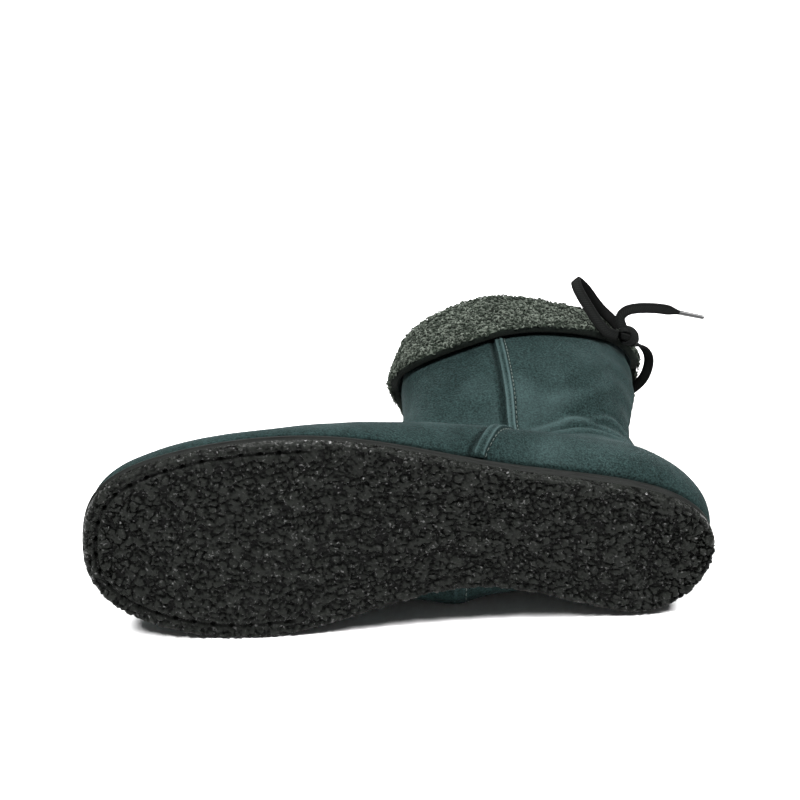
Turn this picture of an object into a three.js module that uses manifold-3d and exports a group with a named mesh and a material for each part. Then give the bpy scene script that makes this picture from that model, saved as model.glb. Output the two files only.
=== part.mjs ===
// A left suede boot with a turned-down fleece cuff, lying on its inner side.
// Boot frame: u runs from heel to toe, v to the outer side, w up from the tread, in millimetres.
import * as THREE from "three";
import { mergeVertices } from "three/addons/utils/BufferGeometryUtils.js";
import Module from "manifold-3d";

const wasm = await Module();
wasm.setup();

// Driving dimensions
const SOLE_LENGTH = 264;
const GAP = 0.3;
const CREPE_HEEL = 5;
const CREPE_TOE = 4.2;
const CREPE_ROUND = 2;
const MIDSOLE_HEEL = 7;
const MIDSOLE_TOE = 4.8;
const THIN_FROM = 40;
const THIN_TO = 170;
const SPRING_FROM = 165;
const SPRING_RISE = 9;
const WALL = 3;
const INSOLE_INSET = 7;
const INSOLE_THICK = 4.5;
const INSOLE_TAPER = 0.8;
const SEAM_HEIGHT = 1.3;

// How the boot lies: turned about the row's Y and X axes, then moved to its origin on the floor
const LIE_ROLL = THREE.MathUtils.degToRad(5.96);
const LIE_TILT = THREE.MathUtils.degToRad(0.05);
const LIE_SHIFT = new THREE.Vector3(130.814, -80.988, 27.804);

// Places along a level, as shares of its length from back to front,
// with the sole's half width and middle there
const STATIONS = [
  { name: "heel", along: 0.107, half: 29.0, mid: -0.4 },
  { name: "waist", along: 0.372, half: 28.9, mid: 9.5 },
  { name: "ball", along: 0.669, half: 46.9, mid: 1.6 },
  { name: "toe", along: 0.933, half: 33.7, mid: -6.1 },
];
const BACK_MID = 1.5;
const FRONT_MID = -5.8;

// The upper's outer face from the sole to the rim: its back and front ends, its half width at each
// station, the share of the sole's own middle line and top curve that the level keeps, and how far its
// inner side sags at the waist
const LEVEL_COLUMNS = [
  "backU", "backV", "backW",
  "frontU", "frontV", "frontW",
  "heel", "waist", "ball", "toe",
  "follow", "sag",
];
const LEVEL_ROWS = [
  [1.5, 0, 12.3, 262, 0, 18.3, 27.8, 27.6, 45.6, 31.6, 1, 0],
  [-1.5, 1, 21, 261.5, 0, 25, 30, 30, 44.5, 32, 1, 12],
  [-0.5, 1.2, 34, 254.5, -3, 36, 29, 32, 41, 30.4, 0.9, 9.5],
  [3, 1, 47, 239, -6, 46, 25, 29, 36.5, 26.5, 0.6, 9],
  [11, 1, 60, 209, -8, 55, 19.5, 23, 29, 20, 0.3, 10.5],
  [19.5, 2, 74, 166, -8, 66, 15, 17.5, 20, 14, 0.1, 13],
  [21.5, 2.5, 88, 134, -5, 82, 17, 23.5, 23, 13, 0, 7],
  [18.5, 3, 103, 121, -1, 100, 18.5, 27.5, 26, 14, 0, 3],
  [13.5, 3, 120, 119, 0, 119, 19, 29, 28, 14.8, 0, 0],
  [11.5, 3, 137, 117, 0, 137, 19, 28, 28.4, 15, 0, 0.7],
  [11.5, 3, 156, 112, 0, 156, 19, 26.8, 29, 15.2, 0, 1.2],
];

// The slack of the inner side over the arch: the place where it hangs out most, how far it reaches along
// and up, its depth, and the level from which it is whole
const ARCH_SLACK = { u: 105, w: 17, along: 20, up: 6, hang: 5.8, wholeLevel: 0.4 };

// Ring places: 0 at the back, 1 to 4 along the outer side, 5 at the front, 6 to 9 along the inner side
const RING_COUNT = 10;
const FRONT_PLACE = 5;
// The side seam's distance from the heel at the sole and up the shaft, and the level where it straightens
const SEAM_LOW_U = 104.5;
const SEAM_TOP_U = 78.5;
const SEAM_BEND_LEVEL = 5;
const SEAM_PLACE = 2;
// The levels between which the seam flattens out under the cuff
const SEAM_FADE_FROM = 8.2;
const SEAM_FADE_TO = 8.7;
// The columns across the seam's raised strip
const SEAM_COLUMNS = [
  { off: -0.085, raise: 0 },
  { off: -0.05, raise: 1 },
  { off: 0.05, raise: 1 },
  { off: 0.085, raise: 0 },
];
// The cuff's section, from its lower edge up the inside, over the rim and down the outside: the share of
// the way from the lower edge to the rim, the distance out from the upper's face, the rise above the rim
const CUFF_SECTION = [
  { share: 0, out: 1.8, rise: 0 },
  { share: 0.45, out: 0.9, rise: 0 },
  { share: 1, out: 0.4, rise: 0.4 },
  { share: 1, out: -3.4, rise: 0.4 },
  { share: 0.8, out: -3.4, rise: 0 },
  { share: 0.8, out: -6.8, rise: 0 },
  { share: 1, out: -7, rise: 1 },
  { share: 1, out: -5, rise: 4.5 },
  { share: 1, out: -1, rise: 6 },
  { share: 1, out: 3, rise: 4.5 },
  { share: 1, out: 5, rise: 0 },
  { share: 0.5, out: 5.4, rise: 0 },
  { share: 0.08, out: 6.2, rise: 0 },
  { share: 0, out: 5.4, rise: 0 },
];
// The height of the cuff's lower edge at the ten ring places, and its V-shaped gap at the back
const CUFF_EDGE = [142, 135, 124, 121, 125, 134, 140, 131, 128, 135];
const NOTCH_HALF = 0.34;
const NOTCH_TOP = 152;
const NOTCH_STEPS = 3;
// The flat lace, its holes in the cuff beside the gap, and its knot at the outer corner of the cuff
const LACE_WIDTH = 4.8;
const LACE_THICK = 1.4;
const HOLE_HEIGHT = 147;
const OUTER_HOLE = 0.6;
const INNER_HOLE = -0.48;
const HOLE_RADIUS = 3;
const HOLE_SIDES = 16;
// How far inside and outside the upper's face the cut for a hole begins and ends
const HOLE_FROM = -1;
const HOLE_TO = 12;
const KNOT_CENTRE = new THREE.Vector3(16.8, 29.3, 136.3);
const KNOT_RADII = new THREE.Vector3(4, 3.9, 4.4);
const KNOT_SEGMENTS = 14;
const KNOT_RINGS = 10;
// The bar's route across the gap: the ring place from the back, the rise over the holes and the distance
// out from the upper
const BAR_ROUTE = [
  { place: INNER_HOLE, rise: 0, out: 2 },
  { place: INNER_HOLE, rise: 0, out: 7 },
  { place: -0.3, rise: 0, out: 8 },
  { place: -0.08, rise: -1, out: 8.4 },
  { place: 0.15, rise: -1, out: 10.6 },
  { place: 0.38, rise: 0, out: 10.8 },
  { place: OUTER_HOLE, rise: 0, out: 7 },
  { place: OUTER_HOLE, rise: 0, out: 2 },
];
const BAR_ACROSS = new THREE.Vector3(0, 0, 1);
// The bow's loop, the free end and its tip, as places in the boot frame,
// and the way that their flat width points
const LOOP_ROUTE = [
  [22.2, 30.3, 134.3],
  [26.8, 32.3, 134.9],
  [31.2, 36.5, 138.7],
  [35.2, 40.9, 143.3],
  [38.3, 44.3, 148.5],
  [39.7, 45.4, 153.1],
  [38.7, 44.1, 156.4],
  [34.8, 40.6, 156],
  [30.4, 36.8, 152.6],
  [26.2, 33.6, 148.8],
  [22.9, 31.7, 144.7],
  [20.4, 30.5, 141.8],
];
const LOOP_ACROSS = new THREE.Vector3(-0.75, 0.62, 0.23);
const END_ROUTE = [
  [19.7, 32.6, 138.3],
  [20.9, 36, 139.8],
  [18.9, 38.6, 141.5],
  [13.1, 39.9, 143],
  [2.2, 39.8, 143.8],
  [-7.5, 38.7, 142.6],
];
const END_ACROSS = new THREE.Vector3(0.72, 0.66, 0.2);
const TIP_ROUTE = [
  [-7.9, 38.65, 142.5],
  [-18.2, 37.6, 141.2],
];
const TIP_WIDTH = 2.2;
const TIP_THICK = 1.6;
// How finely the faces are divided, and the step for reading their slopes
const PLAIN_STEP = 0.25;
const LEVEL_STEPS = 24;
const SLAB_COUNT = 80;
const SPLINE_PASSES = 40;
const SLOPE_STEP = 0.02;

function smooth(from, to, x) {
  const t = Math.min(Math.max((x - from) / (to - from), 0), 1);
  return t * t * (3 - 2 * t);
}

function mix(a, b, t) {
  return a + (b - a) * t;
}

// Heights of the sole's layers at a place u
function treadHeight(u) {
  const t = Math.max((u - SPRING_FROM) / (SOLE_LENGTH - SPRING_FROM), 0);
  return SPRING_RISE * t * t;
}

function crepeTop(u) {
  return treadHeight(u) + mix(CREPE_HEEL, CREPE_TOE, smooth(THIN_FROM, THIN_TO, u));
}

function soleTop(u) {
  return crepeTop(u) + GAP + mix(MIDSOLE_HEEL, MIDSOLE_TOE, smooth(THIN_FROM, THIN_TO, u));
}

// Control values of a uniform cubic spline that passes through the given values
function splineControls(values, closed) {
  const count = values.length;
  const controls = [...values];
  for (let pass = 0; pass < SPLINE_PASSES; pass++) {
    for (let i = 0; i < count; i++) {
      if (!closed && (i === 0 || i === count - 1)) continue;
      const before = controls[(i + count - 1) % count];
      const after = controls[(i + 1) % count];
      controls[i] = (6 * values[i] - before - after) / 4;
    }
  }
  return controls;
}

function splineWeights(t) {
  const rest = 1 - t;
  const second = 3 * t ** 3 - 6 * t ** 2 + 4;
  const third = 3 * rest ** 3 - 6 * rest ** 2 + 4;
  return [rest ** 3 / 6, second / 6, third / 6, t ** 3 / 6];
}

function splineAt(controls, place, closed) {
  const count = controls.length;
  const start = closed ? Math.floor(place) : Math.min(Math.max(Math.floor(place), 0), count - 2);
  const weights = splineWeights(place - start);
  let sum = 0;
  for (let k = 0; k < 4; k++) {
    const i = start - 1 + k;
    let value;
    if (closed) value = controls[((i % count) + count) % count];
    else if (i < 0) value = 2 * controls[0] - controls[1];
    else if (i >= count) value = 2 * controls[count - 1] - controls[count - 2];
    else value = controls[i];
    sum += weights[k] * value;
  }
  return sum;
}

// The ten ring points of the sole outline, from the back round the outer side to the front and on
const outlinePoints = [
  { u: 0, v: BACK_MID },
  ...STATIONS.map((s) => ({ u: s.along * SOLE_LENGTH, v: s.mid + s.half })),
  { u: SOLE_LENGTH, v: FRONT_MID },
  ...[...STATIONS].reverse().map((s) => ({ u: s.along * SOLE_LENGTH, v: s.mid - s.half })),
];
const outlineU = splineControls(outlinePoints.map((p) => p.u), true);
const outlineV = splineControls(outlinePoints.map((p) => p.v), true);

// A point of the sole outline, moved inwards by inset
function outlineAt(place, inset) {
  const before = place - SLOPE_STEP;
  const after = place + SLOPE_STEP;
  const du = splineAt(outlineU, after, true) - splineAt(outlineU, before, true);
  const dv = splineAt(outlineV, after, true) - splineAt(outlineV, before, true);
  const length = Math.hypot(du, dv);
  return {
    u: splineAt(outlineU, place, true) + (dv / length) * inset,
    v: splineAt(outlineV, place, true) - (du / length) * inset,
  };
}

// The ten ring points of one level of the upper
function levelPoints(row) {
  const level = Object.fromEntries(LEVEL_COLUMNS.map((name, i) => [name, row[i]]));
  const at = (along, mid, half) => {
    const u = mix(level.backU, level.frontU, along);
    const chord = mix(soleTop(0), soleTop(SOLE_LENGTH), along);
    const v = mix(level.backV, level.frontV, along) + level.follow * mid + half;
    const w = mix(level.backW, level.frontW, along) + level.follow * (soleTop(u) - chord);
    return { u, v, w };
  };
  const inner = (s) => -level[s.name] - (s.name === "waist" ? level.sag : 0);
  return [
    at(0, BACK_MID, 0),
    ...STATIONS.map((s) => at(s.along, s.mid, level[s.name])),
    at(1, FRONT_MID, 0),
    ...[...STATIONS].reverse().map((s) => at(s.along, s.mid, inner(s))),
  ];
}

// The control net of the upper's outer face, one list of level controls for each ring control and axis
function controlNet(axis) {
  const rings = LEVEL_ROWS.map((row) => splineControls(levelPoints(row).map((p) => p[axis]), true));
  const columns = [];
  for (let i = 0; i < RING_COUNT; i++) {
    columns.push(splineControls(rings.map((ring) => ring[i]), false));
  }
  return columns;
}
const net = { u: controlNet("u"), v: controlNet("v"), w: controlNet("w") };
const TOP_LEVEL = LEVEL_ROWS.length - 1;

function netAt(axis, place, level) {
  return splineAt(net[axis].map((column) => splineAt(column, level, false)), place, true);
}

function archSlack(point, level) {
  const along = (point.x - ARCH_SLACK.u) / ARCH_SLACK.along;
  const up = (point.z - ARCH_SLACK.w) / ARCH_SLACK.up;
  return ARCH_SLACK.hang * Math.exp(-along * along - up * up) * smooth(0, ARCH_SLACK.wholeLevel, level);
}

// The upper's outer face. Its lowest level is fitted to the sole's top.
function upperPoint(place, level) {
  const [u, v, w] = ["u", "v", "w"].map((axis) => netAt(axis, place, level));
  const point = new THREE.Vector3(u, v, w);
  if (level < 1) {
    const lowest = netAt("w", place, 0);
    const wanted = soleTop(netAt("u", place, 0)) + GAP;
    point.z += (wanted - lowest) * (1 - level) ** 2;
  }
  if (place > FRONT_PLACE) point.y -= archSlack(point, level);
  return point;
}

function upperNormal(place, level) {
  const low = Math.max(level - SLOPE_STEP, 0);
  const high = Math.min(level + SLOPE_STEP, TOP_LEVEL);
  const around = upperPoint(place + SLOPE_STEP, level).sub(upperPoint(place - SLOPE_STEP, level));
  const up = upperPoint(place, high).sub(upperPoint(place, low));
  return up.cross(around).normalize();
}

// The ring place of the outer side seam at a level, found by halving
function seamPlace(level) {
  const wanted = mix(SEAM_LOW_U, SEAM_TOP_U, smooth(0, SEAM_BEND_LEVEL, level));
  let low = 0;
  let high = FRONT_PLACE;
  for (let step = 0; step < SPLINE_PASSES; step++) {
    const middle = (low + high) / 2;
    if (upperPoint(middle, level).x < wanted) low = middle;
    else high = middle;
  }
  return low;
}

// Ring columns: plain ones, those of the cuff's gap, and four across each side seam
function ringColumns() {
  const columns = [];
  for (let place = 0; place < RING_COUNT; place += PLAIN_STEP) {
    const atSeam = place === SEAM_PLACE || place === RING_COUNT - SEAM_PLACE;
    const inGap = Math.min(place, RING_COUNT - place) <= NOTCH_HALF;
    if (!atSeam && !inGap) columns.push({ place, off: 0, raise: 0 });
  }
  for (let i = -NOTCH_STEPS; i <= NOTCH_STEPS; i++) {
    const place = ((i / NOTCH_STEPS) * NOTCH_HALF + RING_COUNT) % RING_COUNT;
    columns.push({ place, off: 0, raise: 0 });
  }
  for (const base of [SEAM_PLACE, RING_COUNT - SEAM_PLACE]) {
    for (const column of SEAM_COLUMNS) columns.push({ place: base, ...column });
  }
  return columns.sort((a, b) => a.place + a.off - b.place - b.off);
}

// The place of a column on a level, with the stretches beside the seam squeezed or drawn out
function columnPlace(column, seam) {
  const mirrored = column.place > FRONT_PLACE;
  const place = mirrored ? RING_COUNT - column.place : column.place;
  const share = (place - SEAM_PLACE) / (FRONT_PLACE - SEAM_PLACE);
  const moved = place <= SEAM_PLACE ? (place / SEAM_PLACE) * seam : mix(seam, FRONT_PLACE, share);
  return (mirrored ? RING_COUNT - moved : moved) + column.off;
}

// A mesh from points and triangles
function meshOf(name, points, triangles, finish) {
  const geometry = new THREE.BufferGeometry().setFromPoints(points);
  geometry.setIndex(triangles);
  geometry.computeVertexNormals();
  const mesh = new THREE.Mesh(geometry, new THREE.MeshStandardMaterial(finish));
  mesh.name = name;
  return mesh;
}

// Triangles of the band between two rings of equal count, given by their first indices
function bandTriangles(lower, upper, count) {
  const triangles = [];
  for (let i = 0; i < count; i++) {
    const j = (i + 1) % count;
    triangles.push(lower + i, upper + i, upper + j, lower + i, upper + j, lower + j);
  }
  return triangles;
}

// Triangles that close a ring by rungs from its outer to its inner side
function rungTriangles(first, count, facesUp) {
  const triangles = [];
  for (let i = 0; i < count / 2; i++) {
    const outer = [first + i, first + i + 1];
    const inner = [first + ((count - i) % count), first + count - i - 1];
    if (inner[0] !== outer[0]) triangles.push([outer[0], outer[1], inner[0]]);
    if (inner[1] !== outer[1]) triangles.push([outer[1], inner[1], inner[0]]);
  }
  return triangles.flatMap(([a, b, c]) => (facesUp ? [a, c, b] : [a, b, c]));
}

// A slab with the sole's outline: a row for each ring from the bottom up, with its inset and its height
function slab(name, rows, finish) {
  const points = [];
  const triangles = [];
  for (const row of rows) {
    for (let i = 0; i < SLAB_COUNT; i++) {
      const { u, v } = outlineAt((i / SLAB_COUNT) * RING_COUNT, row.inset);
      points.push(new THREE.Vector3(u, v, row.height(u)));
    }
  }
  for (let k = 0; k + 1 < rows.length; k++) {
    triangles.push(...bandTriangles(k * SLAB_COUNT, (k + 1) * SLAB_COUNT, SLAB_COUNT));
  }
  triangles.push(...rungTriangles(0, SLAB_COUNT, false));
  triangles.push(...rungTriangles((rows.length - 1) * SLAB_COUNT, SLAB_COUNT, true));
  return meshOf(name, points, triangles, finish);
}

function makeOutsole() {
  return slab(
    "outsole",
    [
      { inset: CREPE_ROUND, height: treadHeight },
      { inset: 0, height: (u) => treadHeight(u) + CREPE_ROUND },
      { inset: 0, height: crepeTop },
    ],
    { color: 0x2a2724, roughness: 0.55, metalness: 0 },
  );
}

// The midsole's edge has a fine rib between two shallow steps
function makeMidsole() {
  const edge = [
    { share: 0, inset: 0.8 },
    { share: 0.42, inset: 0.8 },
    { share: 0.48, inset: 0 },
    { share: 0.62, inset: 0 },
    { share: 0.68, inset: 0.8 },
    { share: 1, inset: 1 },
  ];
  const heightAt = (share) => (u) => mix(crepeTop(u) + GAP, soleTop(u), share);
  const rows = edge.map(({ share, inset }) => ({ inset, height: heightAt(share) }));
  return slab("midsole", rows, { color: 0x3a3835, roughness: 0.6, metalness: 0 });
}

function makeInsole() {
  const bottom = (u) => soleTop(u) + GAP;
  return slab(
    "insole",
    [
      { inset: INSOLE_INSET, height: bottom },
      { inset: INSOLE_INSET + INSOLE_TAPER, height: (u) => bottom(u) + INSOLE_THICK },
    ],
    { color: 0x5d6459, roughness: 0.95, metalness: 0 },
  );
}

function makeUpper() {
  const columns = ringColumns();
  const points = [];
  const triangles = [];
  const layer = (depth, raise) => {
    for (let row = 0; row <= LEVEL_STEPS; row++) {
      const level = (row / LEVEL_STEPS) * TOP_LEVEL;
      const seam = seamPlace(level);
      for (const column of columns) {
        const place = columnPlace(column, seam);
        const out = column.raise * raise * (1 - smooth(SEAM_FADE_FROM, SEAM_FADE_TO, level)) - depth;
        const point = upperPoint(place, level).addScaledVector(upperNormal(place, level), out);
        point.z = Math.max(point.z, soleTop(point.x) + GAP);
        points.push(point);
      }
    }
  };
  layer(0, SEAM_HEIGHT);
  layer(WALL, 0);
  const count = columns.length;
  const inside = (LEVEL_STEPS + 1) * count;
  for (let row = 0; row < LEVEL_STEPS; row++) {
    triangles.push(...bandTriangles(row * count, (row + 1) * count, count));
    triangles.push(...bandTriangles(inside + (row + 1) * count, inside + row * count, count));
  }
  triangles.push(...bandTriangles(LEVEL_STEPS * count, inside + LEVEL_STEPS * count, count));
  triangles.push(...bandTriangles(inside, 0, count));
  return meshOf("upper", points, triangles, { color: 0x23373a, roughness: 0.95, metalness: 0 });
}

// The level at which the upper's face has a height, found by halving
function levelAt(place, height) {
  let low = 0;
  let high = TOP_LEVEL;
  for (let step = 0; step < SPLINE_PASSES; step++) {
    const middle = (low + high) / 2;
    if (upperPoint(place, middle).z < height) low = middle;
    else high = middle;
  }
  return low;
}

// The height of the cuff's lower edge, which rises to the top of the gap at the back
const cuffEdge = splineControls(CUFF_EDGE, true);
function cuffEdgeHeight(place) {
  const fromBack = Math.min(place, RING_COUNT - place);
  if (fromBack >= NOTCH_HALF) return splineAt(cuffEdge, place, true);
  const corner = place < FRONT_PLACE ? NOTCH_HALF : -NOTCH_HALF;
  return mix(NOTCH_TOP, splineAt(cuffEdge, corner, true), fromBack / NOTCH_HALF);
}

// A closed solid from a mesh, and a mesh's geometry from a solid
function solidOf(geometry) {
  const bare = geometry.clone();
  bare.deleteAttribute("normal");
  bare.deleteAttribute("uv");
  const merged = mergeVertices(bare);
  const vertProperties = merged.attributes.position.array;
  const triVerts = new Uint32Array(merged.index.array);
  return new wasm.Manifold(new wasm.Mesh({ numProp: 3, vertProperties, triVerts }));
}

function geometryOf(solid) {
  const { vertProperties, triVerts } = solid.getMesh();
  const geometry = new THREE.BufferGeometry();
  geometry.setAttribute("position", new THREE.BufferAttribute(vertProperties, 3));
  geometry.setIndex(new THREE.BufferAttribute(triVerts, 1));
  geometry.computeVertexNormals();
  return geometry;
}

// A place over the upper's face: ring place from the back, height and distance out
function placeOver(fromBack, height, out) {
  const place = (fromBack + RING_COUNT) % RING_COUNT;
  const level = levelAt(place, height);
  return upperPoint(place, level).addScaledVector(upperNormal(place, level), out);
}

// A round cutter through the cuff's hanging side
function laceHole(fromBack) {
  const inner = placeOver(fromBack, HOLE_HEIGHT, HOLE_FROM);
  const outer = placeOver(fromBack, HOLE_HEIGHT, HOLE_TO);
  const axis = outer.clone().sub(inner);
  const geometry = new THREE.CylinderGeometry(HOLE_RADIUS, HOLE_RADIUS, axis.length(), HOLE_SIDES);
  const turn = new THREE.Quaternion().setFromUnitVectors(new THREE.Vector3(0, 1, 0), axis.normalize());
  geometry.applyQuaternion(turn);
  const middle = inner.add(outer).multiplyScalar(0.5);
  geometry.translate(middle.x, middle.y, middle.z);
  return solidOf(geometry);
}

function makeCuff() {
  const columns = ringColumns();
  const points = [];
  const triangles = [];
  for (const { share, out, rise } of CUFF_SECTION) {
    for (const column of columns) {
      const edge = levelAt(column.place, cuffEdgeHeight(column.place));
      const level = mix(edge, TOP_LEVEL, share);
      const place = columnPlace(column, seamPlace(level));
      const point = upperPoint(place, level).addScaledVector(upperNormal(place, level), out);
      point.z += rise;
      points.push(point);
    }
  }
  const count = columns.length;
  for (let row = 0; row < CUFF_SECTION.length; row++) {
    const next = (row + 1) % CUFF_SECTION.length;
    triangles.push(...bandTriangles(next * count, row * count, count));
  }
  const cuff = meshOf("cuff", points, triangles, { color: 0x58604f, roughness: 1, metalness: 0 });
  const cut = solidOf(cuff.geometry).subtract(laceHole(OUTER_HOLE)).subtract(laceHole(INNER_HOLE));
  cuff.geometry = geometryOf(cut);
  return cuff;
}

// A flat strip along a smooth route, with its width along the across direction
const STRIP_SECTION = [
  [-1, -0.5],
  [-0.8, -1],
  [0.8, -1],
  [1, -0.5],
  [1, 0.5],
  [0.8, 1],
  [-0.8, 1],
  [-1, 0.5],
];
function strip(name, route, across, width, thick, finish) {
  const curve = new THREE.CatmullRomCurve3(route);
  const steps = Math.max(1, Math.ceil(curve.getLength() / width) * 2);
  const points = [];
  const triangles = [];
  for (let i = 0; i <= steps; i++) {
    const centre = curve.getPointAt(i / steps);
    const along = curve.getTangentAt(i / steps);
    const face = along.clone().cross(across).normalize();
    const wide = face.clone().cross(along).normalize();
    for (const [x, y] of STRIP_SECTION) {
      const point = centre.clone().addScaledVector(wide, (x * width) / 2);
      points.push(point.addScaledVector(face, (y * thick) / 2));
    }
  }
  const count = STRIP_SECTION.length;
  for (let i = 0; i < steps; i++) triangles.push(...bandTriangles((i + 1) * count, i * count, count));
  const last = steps * count;
  for (let k = 1; k + 1 < count; k++) {
    triangles.push(0, k + 1, k);
    triangles.push(last, last + k, last + k + 1);
  }
  return meshOf(name, points, triangles, finish);
}

const LACE_FINISH = { color: 0x141414, roughness: 0.85, metalness: 0 };
const TIP_FINISH = { color: 0x2b2b2b, roughness: 0.3, metalness: 0 };
const asPoints = (route) => route.map(([u, v, w]) => new THREE.Vector3(u, v, w));

function makeLace() {
  const bar = BAR_ROUTE.map(({ place, rise, out }) => placeOver(place, HOLE_HEIGHT + rise, out));
  const ball = new THREE.SphereGeometry(1, KNOT_SEGMENTS, KNOT_RINGS);
  const knot = new THREE.Mesh(ball, new THREE.MeshStandardMaterial(LACE_FINISH));
  knot.name = "lace_knot";
  knot.scale.copy(KNOT_RADII);
  knot.position.copy(KNOT_CENTRE);
  return [
    strip("lace_bar", bar, BAR_ACROSS, LACE_WIDTH, LACE_THICK, LACE_FINISH),
    knot,
    strip("lace_loop", asPoints(LOOP_ROUTE), LOOP_ACROSS, LACE_WIDTH, LACE_THICK, LACE_FINISH),
    strip("lace_end", asPoints(END_ROUTE), END_ACROSS, LACE_WIDTH, LACE_THICK, LACE_FINISH),
    strip("lace_tip", asPoints(TIP_ROUTE), END_ACROSS, TIP_WIDTH, TIP_THICK, TIP_FINISH),
  ];
}

const boot = new THREE.Group();
boot.add(makeOutsole(), makeMidsole(), makeInsole(), makeUpper(), makeCuff(), ...makeLace());
const side = new THREE.Matrix4().makeBasis(
  new THREE.Vector3(-1, 0, 0),
  new THREE.Vector3(0, 0, 1),
  new THREE.Vector3(0, 1, 0),
);
boot.setRotationFromMatrix(side);

const lying = new THREE.Group();
lying.add(boot);
lying.rotation.set(LIE_TILT, LIE_ROLL, 0);
lying.position.copy(LIE_SHIFT);

export default lying;
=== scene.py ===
"""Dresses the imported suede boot: napped suede, crinkled crepe sole, fleece cuff and a tied flat lace.

The boot frame has u from heel to toe, v to the outer side and w up from the tread, in millimetres.
"""
import math

import bpy
import numpy as np
from mathutils import Matrix, Vector, noise
from mathutils.kdtree import KDTree


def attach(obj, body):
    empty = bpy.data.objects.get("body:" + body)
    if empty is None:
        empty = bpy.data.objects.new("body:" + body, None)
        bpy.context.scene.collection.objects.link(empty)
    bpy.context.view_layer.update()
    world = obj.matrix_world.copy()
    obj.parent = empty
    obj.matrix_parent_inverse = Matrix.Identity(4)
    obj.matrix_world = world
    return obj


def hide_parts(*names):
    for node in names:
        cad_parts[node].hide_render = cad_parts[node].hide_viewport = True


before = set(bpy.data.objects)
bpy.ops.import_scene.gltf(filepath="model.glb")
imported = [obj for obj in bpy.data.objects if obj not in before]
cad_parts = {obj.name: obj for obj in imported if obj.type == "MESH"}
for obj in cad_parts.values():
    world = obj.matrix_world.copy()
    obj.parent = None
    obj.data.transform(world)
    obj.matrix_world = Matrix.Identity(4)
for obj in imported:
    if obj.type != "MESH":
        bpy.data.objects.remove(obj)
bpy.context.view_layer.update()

MM = 0.001
SEED = 7
# Without a seed, noise vectors would differ in each run
noise.seed_set(SEED)

# The boot's driving sizes, the same as the solids have
SOLE_LENGTH = 264.0
GAP = 0.3
CREPE_HEEL = 5.0
CREPE_TOE = 4.2
CREPE_ROUND = 2.0
MIDSOLE_HEEL = 7.0
MIDSOLE_TOE = 4.8
THIN_FROM = 40.0
THIN_TO = 170.0
SPRING_FROM = 165.0
SPRING_RISE = 9.0
WALL = 3.0
INSOLE_INSET = 7.0
INSOLE_THICK = 4.5

# How the boot lies: turned about the row's Y and X axes, then moved to its origin on the floor
LIE_ROLL = math.radians(5.96)
LIE_TILT = math.radians(0.05)
LIE_SHIFT = np.array([130.814, -80.988, 27.804])
FLOOR_CLEAR = 0.00005

# Places along a level as shares of its length, with the sole's half width and middle there
STATION_ALONG = (0.107, 0.372, 0.669, 0.933)
STATION_HALF = (29.0, 28.9, 46.9, 33.7)
STATION_MID = (-0.4, 9.5, 1.6, -6.1)
BACK_MID = 1.5
FRONT_MID = -5.8
AT_WAIST = np.array([0, 1, 0, 0])

# The upper's outer face from the sole to the rim: back end u, v, w; front end u, v, w;
# half width at the four stations; share of the sole's middle line and top curve that is kept;
# how far the inner side sags at the waist
LEVEL_ROWS = np.array([
    [1.5, 0, 12.3, 262, 0, 18.3, 27.8, 27.6, 45.6, 31.6, 1, 0],
    [-1.5, 1, 21, 261.5, 0, 25, 30, 30, 44.5, 32, 1, 12],
    [-0.5, 1.2, 34, 254.5, -3, 36, 29, 32, 41, 30.4, 0.9, 9.5],
    [3, 1, 47, 239, -6, 46, 25, 29, 36.5, 26.5, 0.6, 9],
    [11, 1, 60, 209, -8, 55, 19.5, 23, 29, 20, 0.3, 10.5],
    [19.5, 2, 74, 166, -8, 66, 15, 17.5, 20, 14, 0.1, 13],
    [21.5, 2.5, 88, 134, -5, 82, 17, 23.5, 23, 13, 0, 7],
    [18.5, 3, 103, 121, -1, 100, 18.5, 27.5, 26, 14, 0, 3],
    [13.5, 3, 120, 119, 0, 119, 19, 29, 28, 14.8, 0, 0],
    [11.5, 3, 137, 117, 0, 137, 19, 28, 28.4, 15, 0, 0.7],
    [11.5, 3, 156, 112, 0, 156, 19, 26.8, 29, 15.2, 0, 1.2],
])
TOP_LEVEL = len(LEVEL_ROWS) - 1
RING_COUNT = 10
FRONT_PLACE = 5

# The slack of the inner side over the arch: the place where it hangs out most, how far it reaches along
# and up, its depth, and the level from which it is whole
SLACK_U = 105.0
SLACK_W = 17.0
SLACK_ALONG = 20.0
SLACK_UP = 6.0
SLACK_HANG = 5.8
SLACK_LEVEL = 0.4

# The raised side seam
SEAM_LOW_U = 104.5
SEAM_TOP_U = 78.5
SEAM_BEND_LEVEL = 5
SEAM_PLACE = 2
SEAM_FADE_FROM = 8.2
SEAM_FADE_TO = 8.7
SEAM_HEIGHT = 1.3
SEAM_HALF_FOOT = 2.2
SEAM_HALF_SHAFT = 1.6
SEAM_ZONE = 7.0
ANKLE_FROM = 2
ANKLE_TO = 5
STITCH_LINE = 1.1

# The cuff: its section as share of the way from lower edge to rim, distance out and rise over the rim
CUFF_SECTION = np.array([
    [0, 5.4, 0],
    [0.08, 6.2, 0],
    [0.5, 5.4, 0],
    [1, 5, 0],
    [1, 3, 4.5],
    [1, -1, 6],
    [1, -5, 4.5],
    [1, -7, 1],
    [0.8, -6.8, 0],
    [0.8, -3.4, 0],
    [1, -3.4, 0.4],
    [1, 0.4, 0.4],
    [0.45, 0.9, 0],
    [0, 1.8, 0],
])
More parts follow.
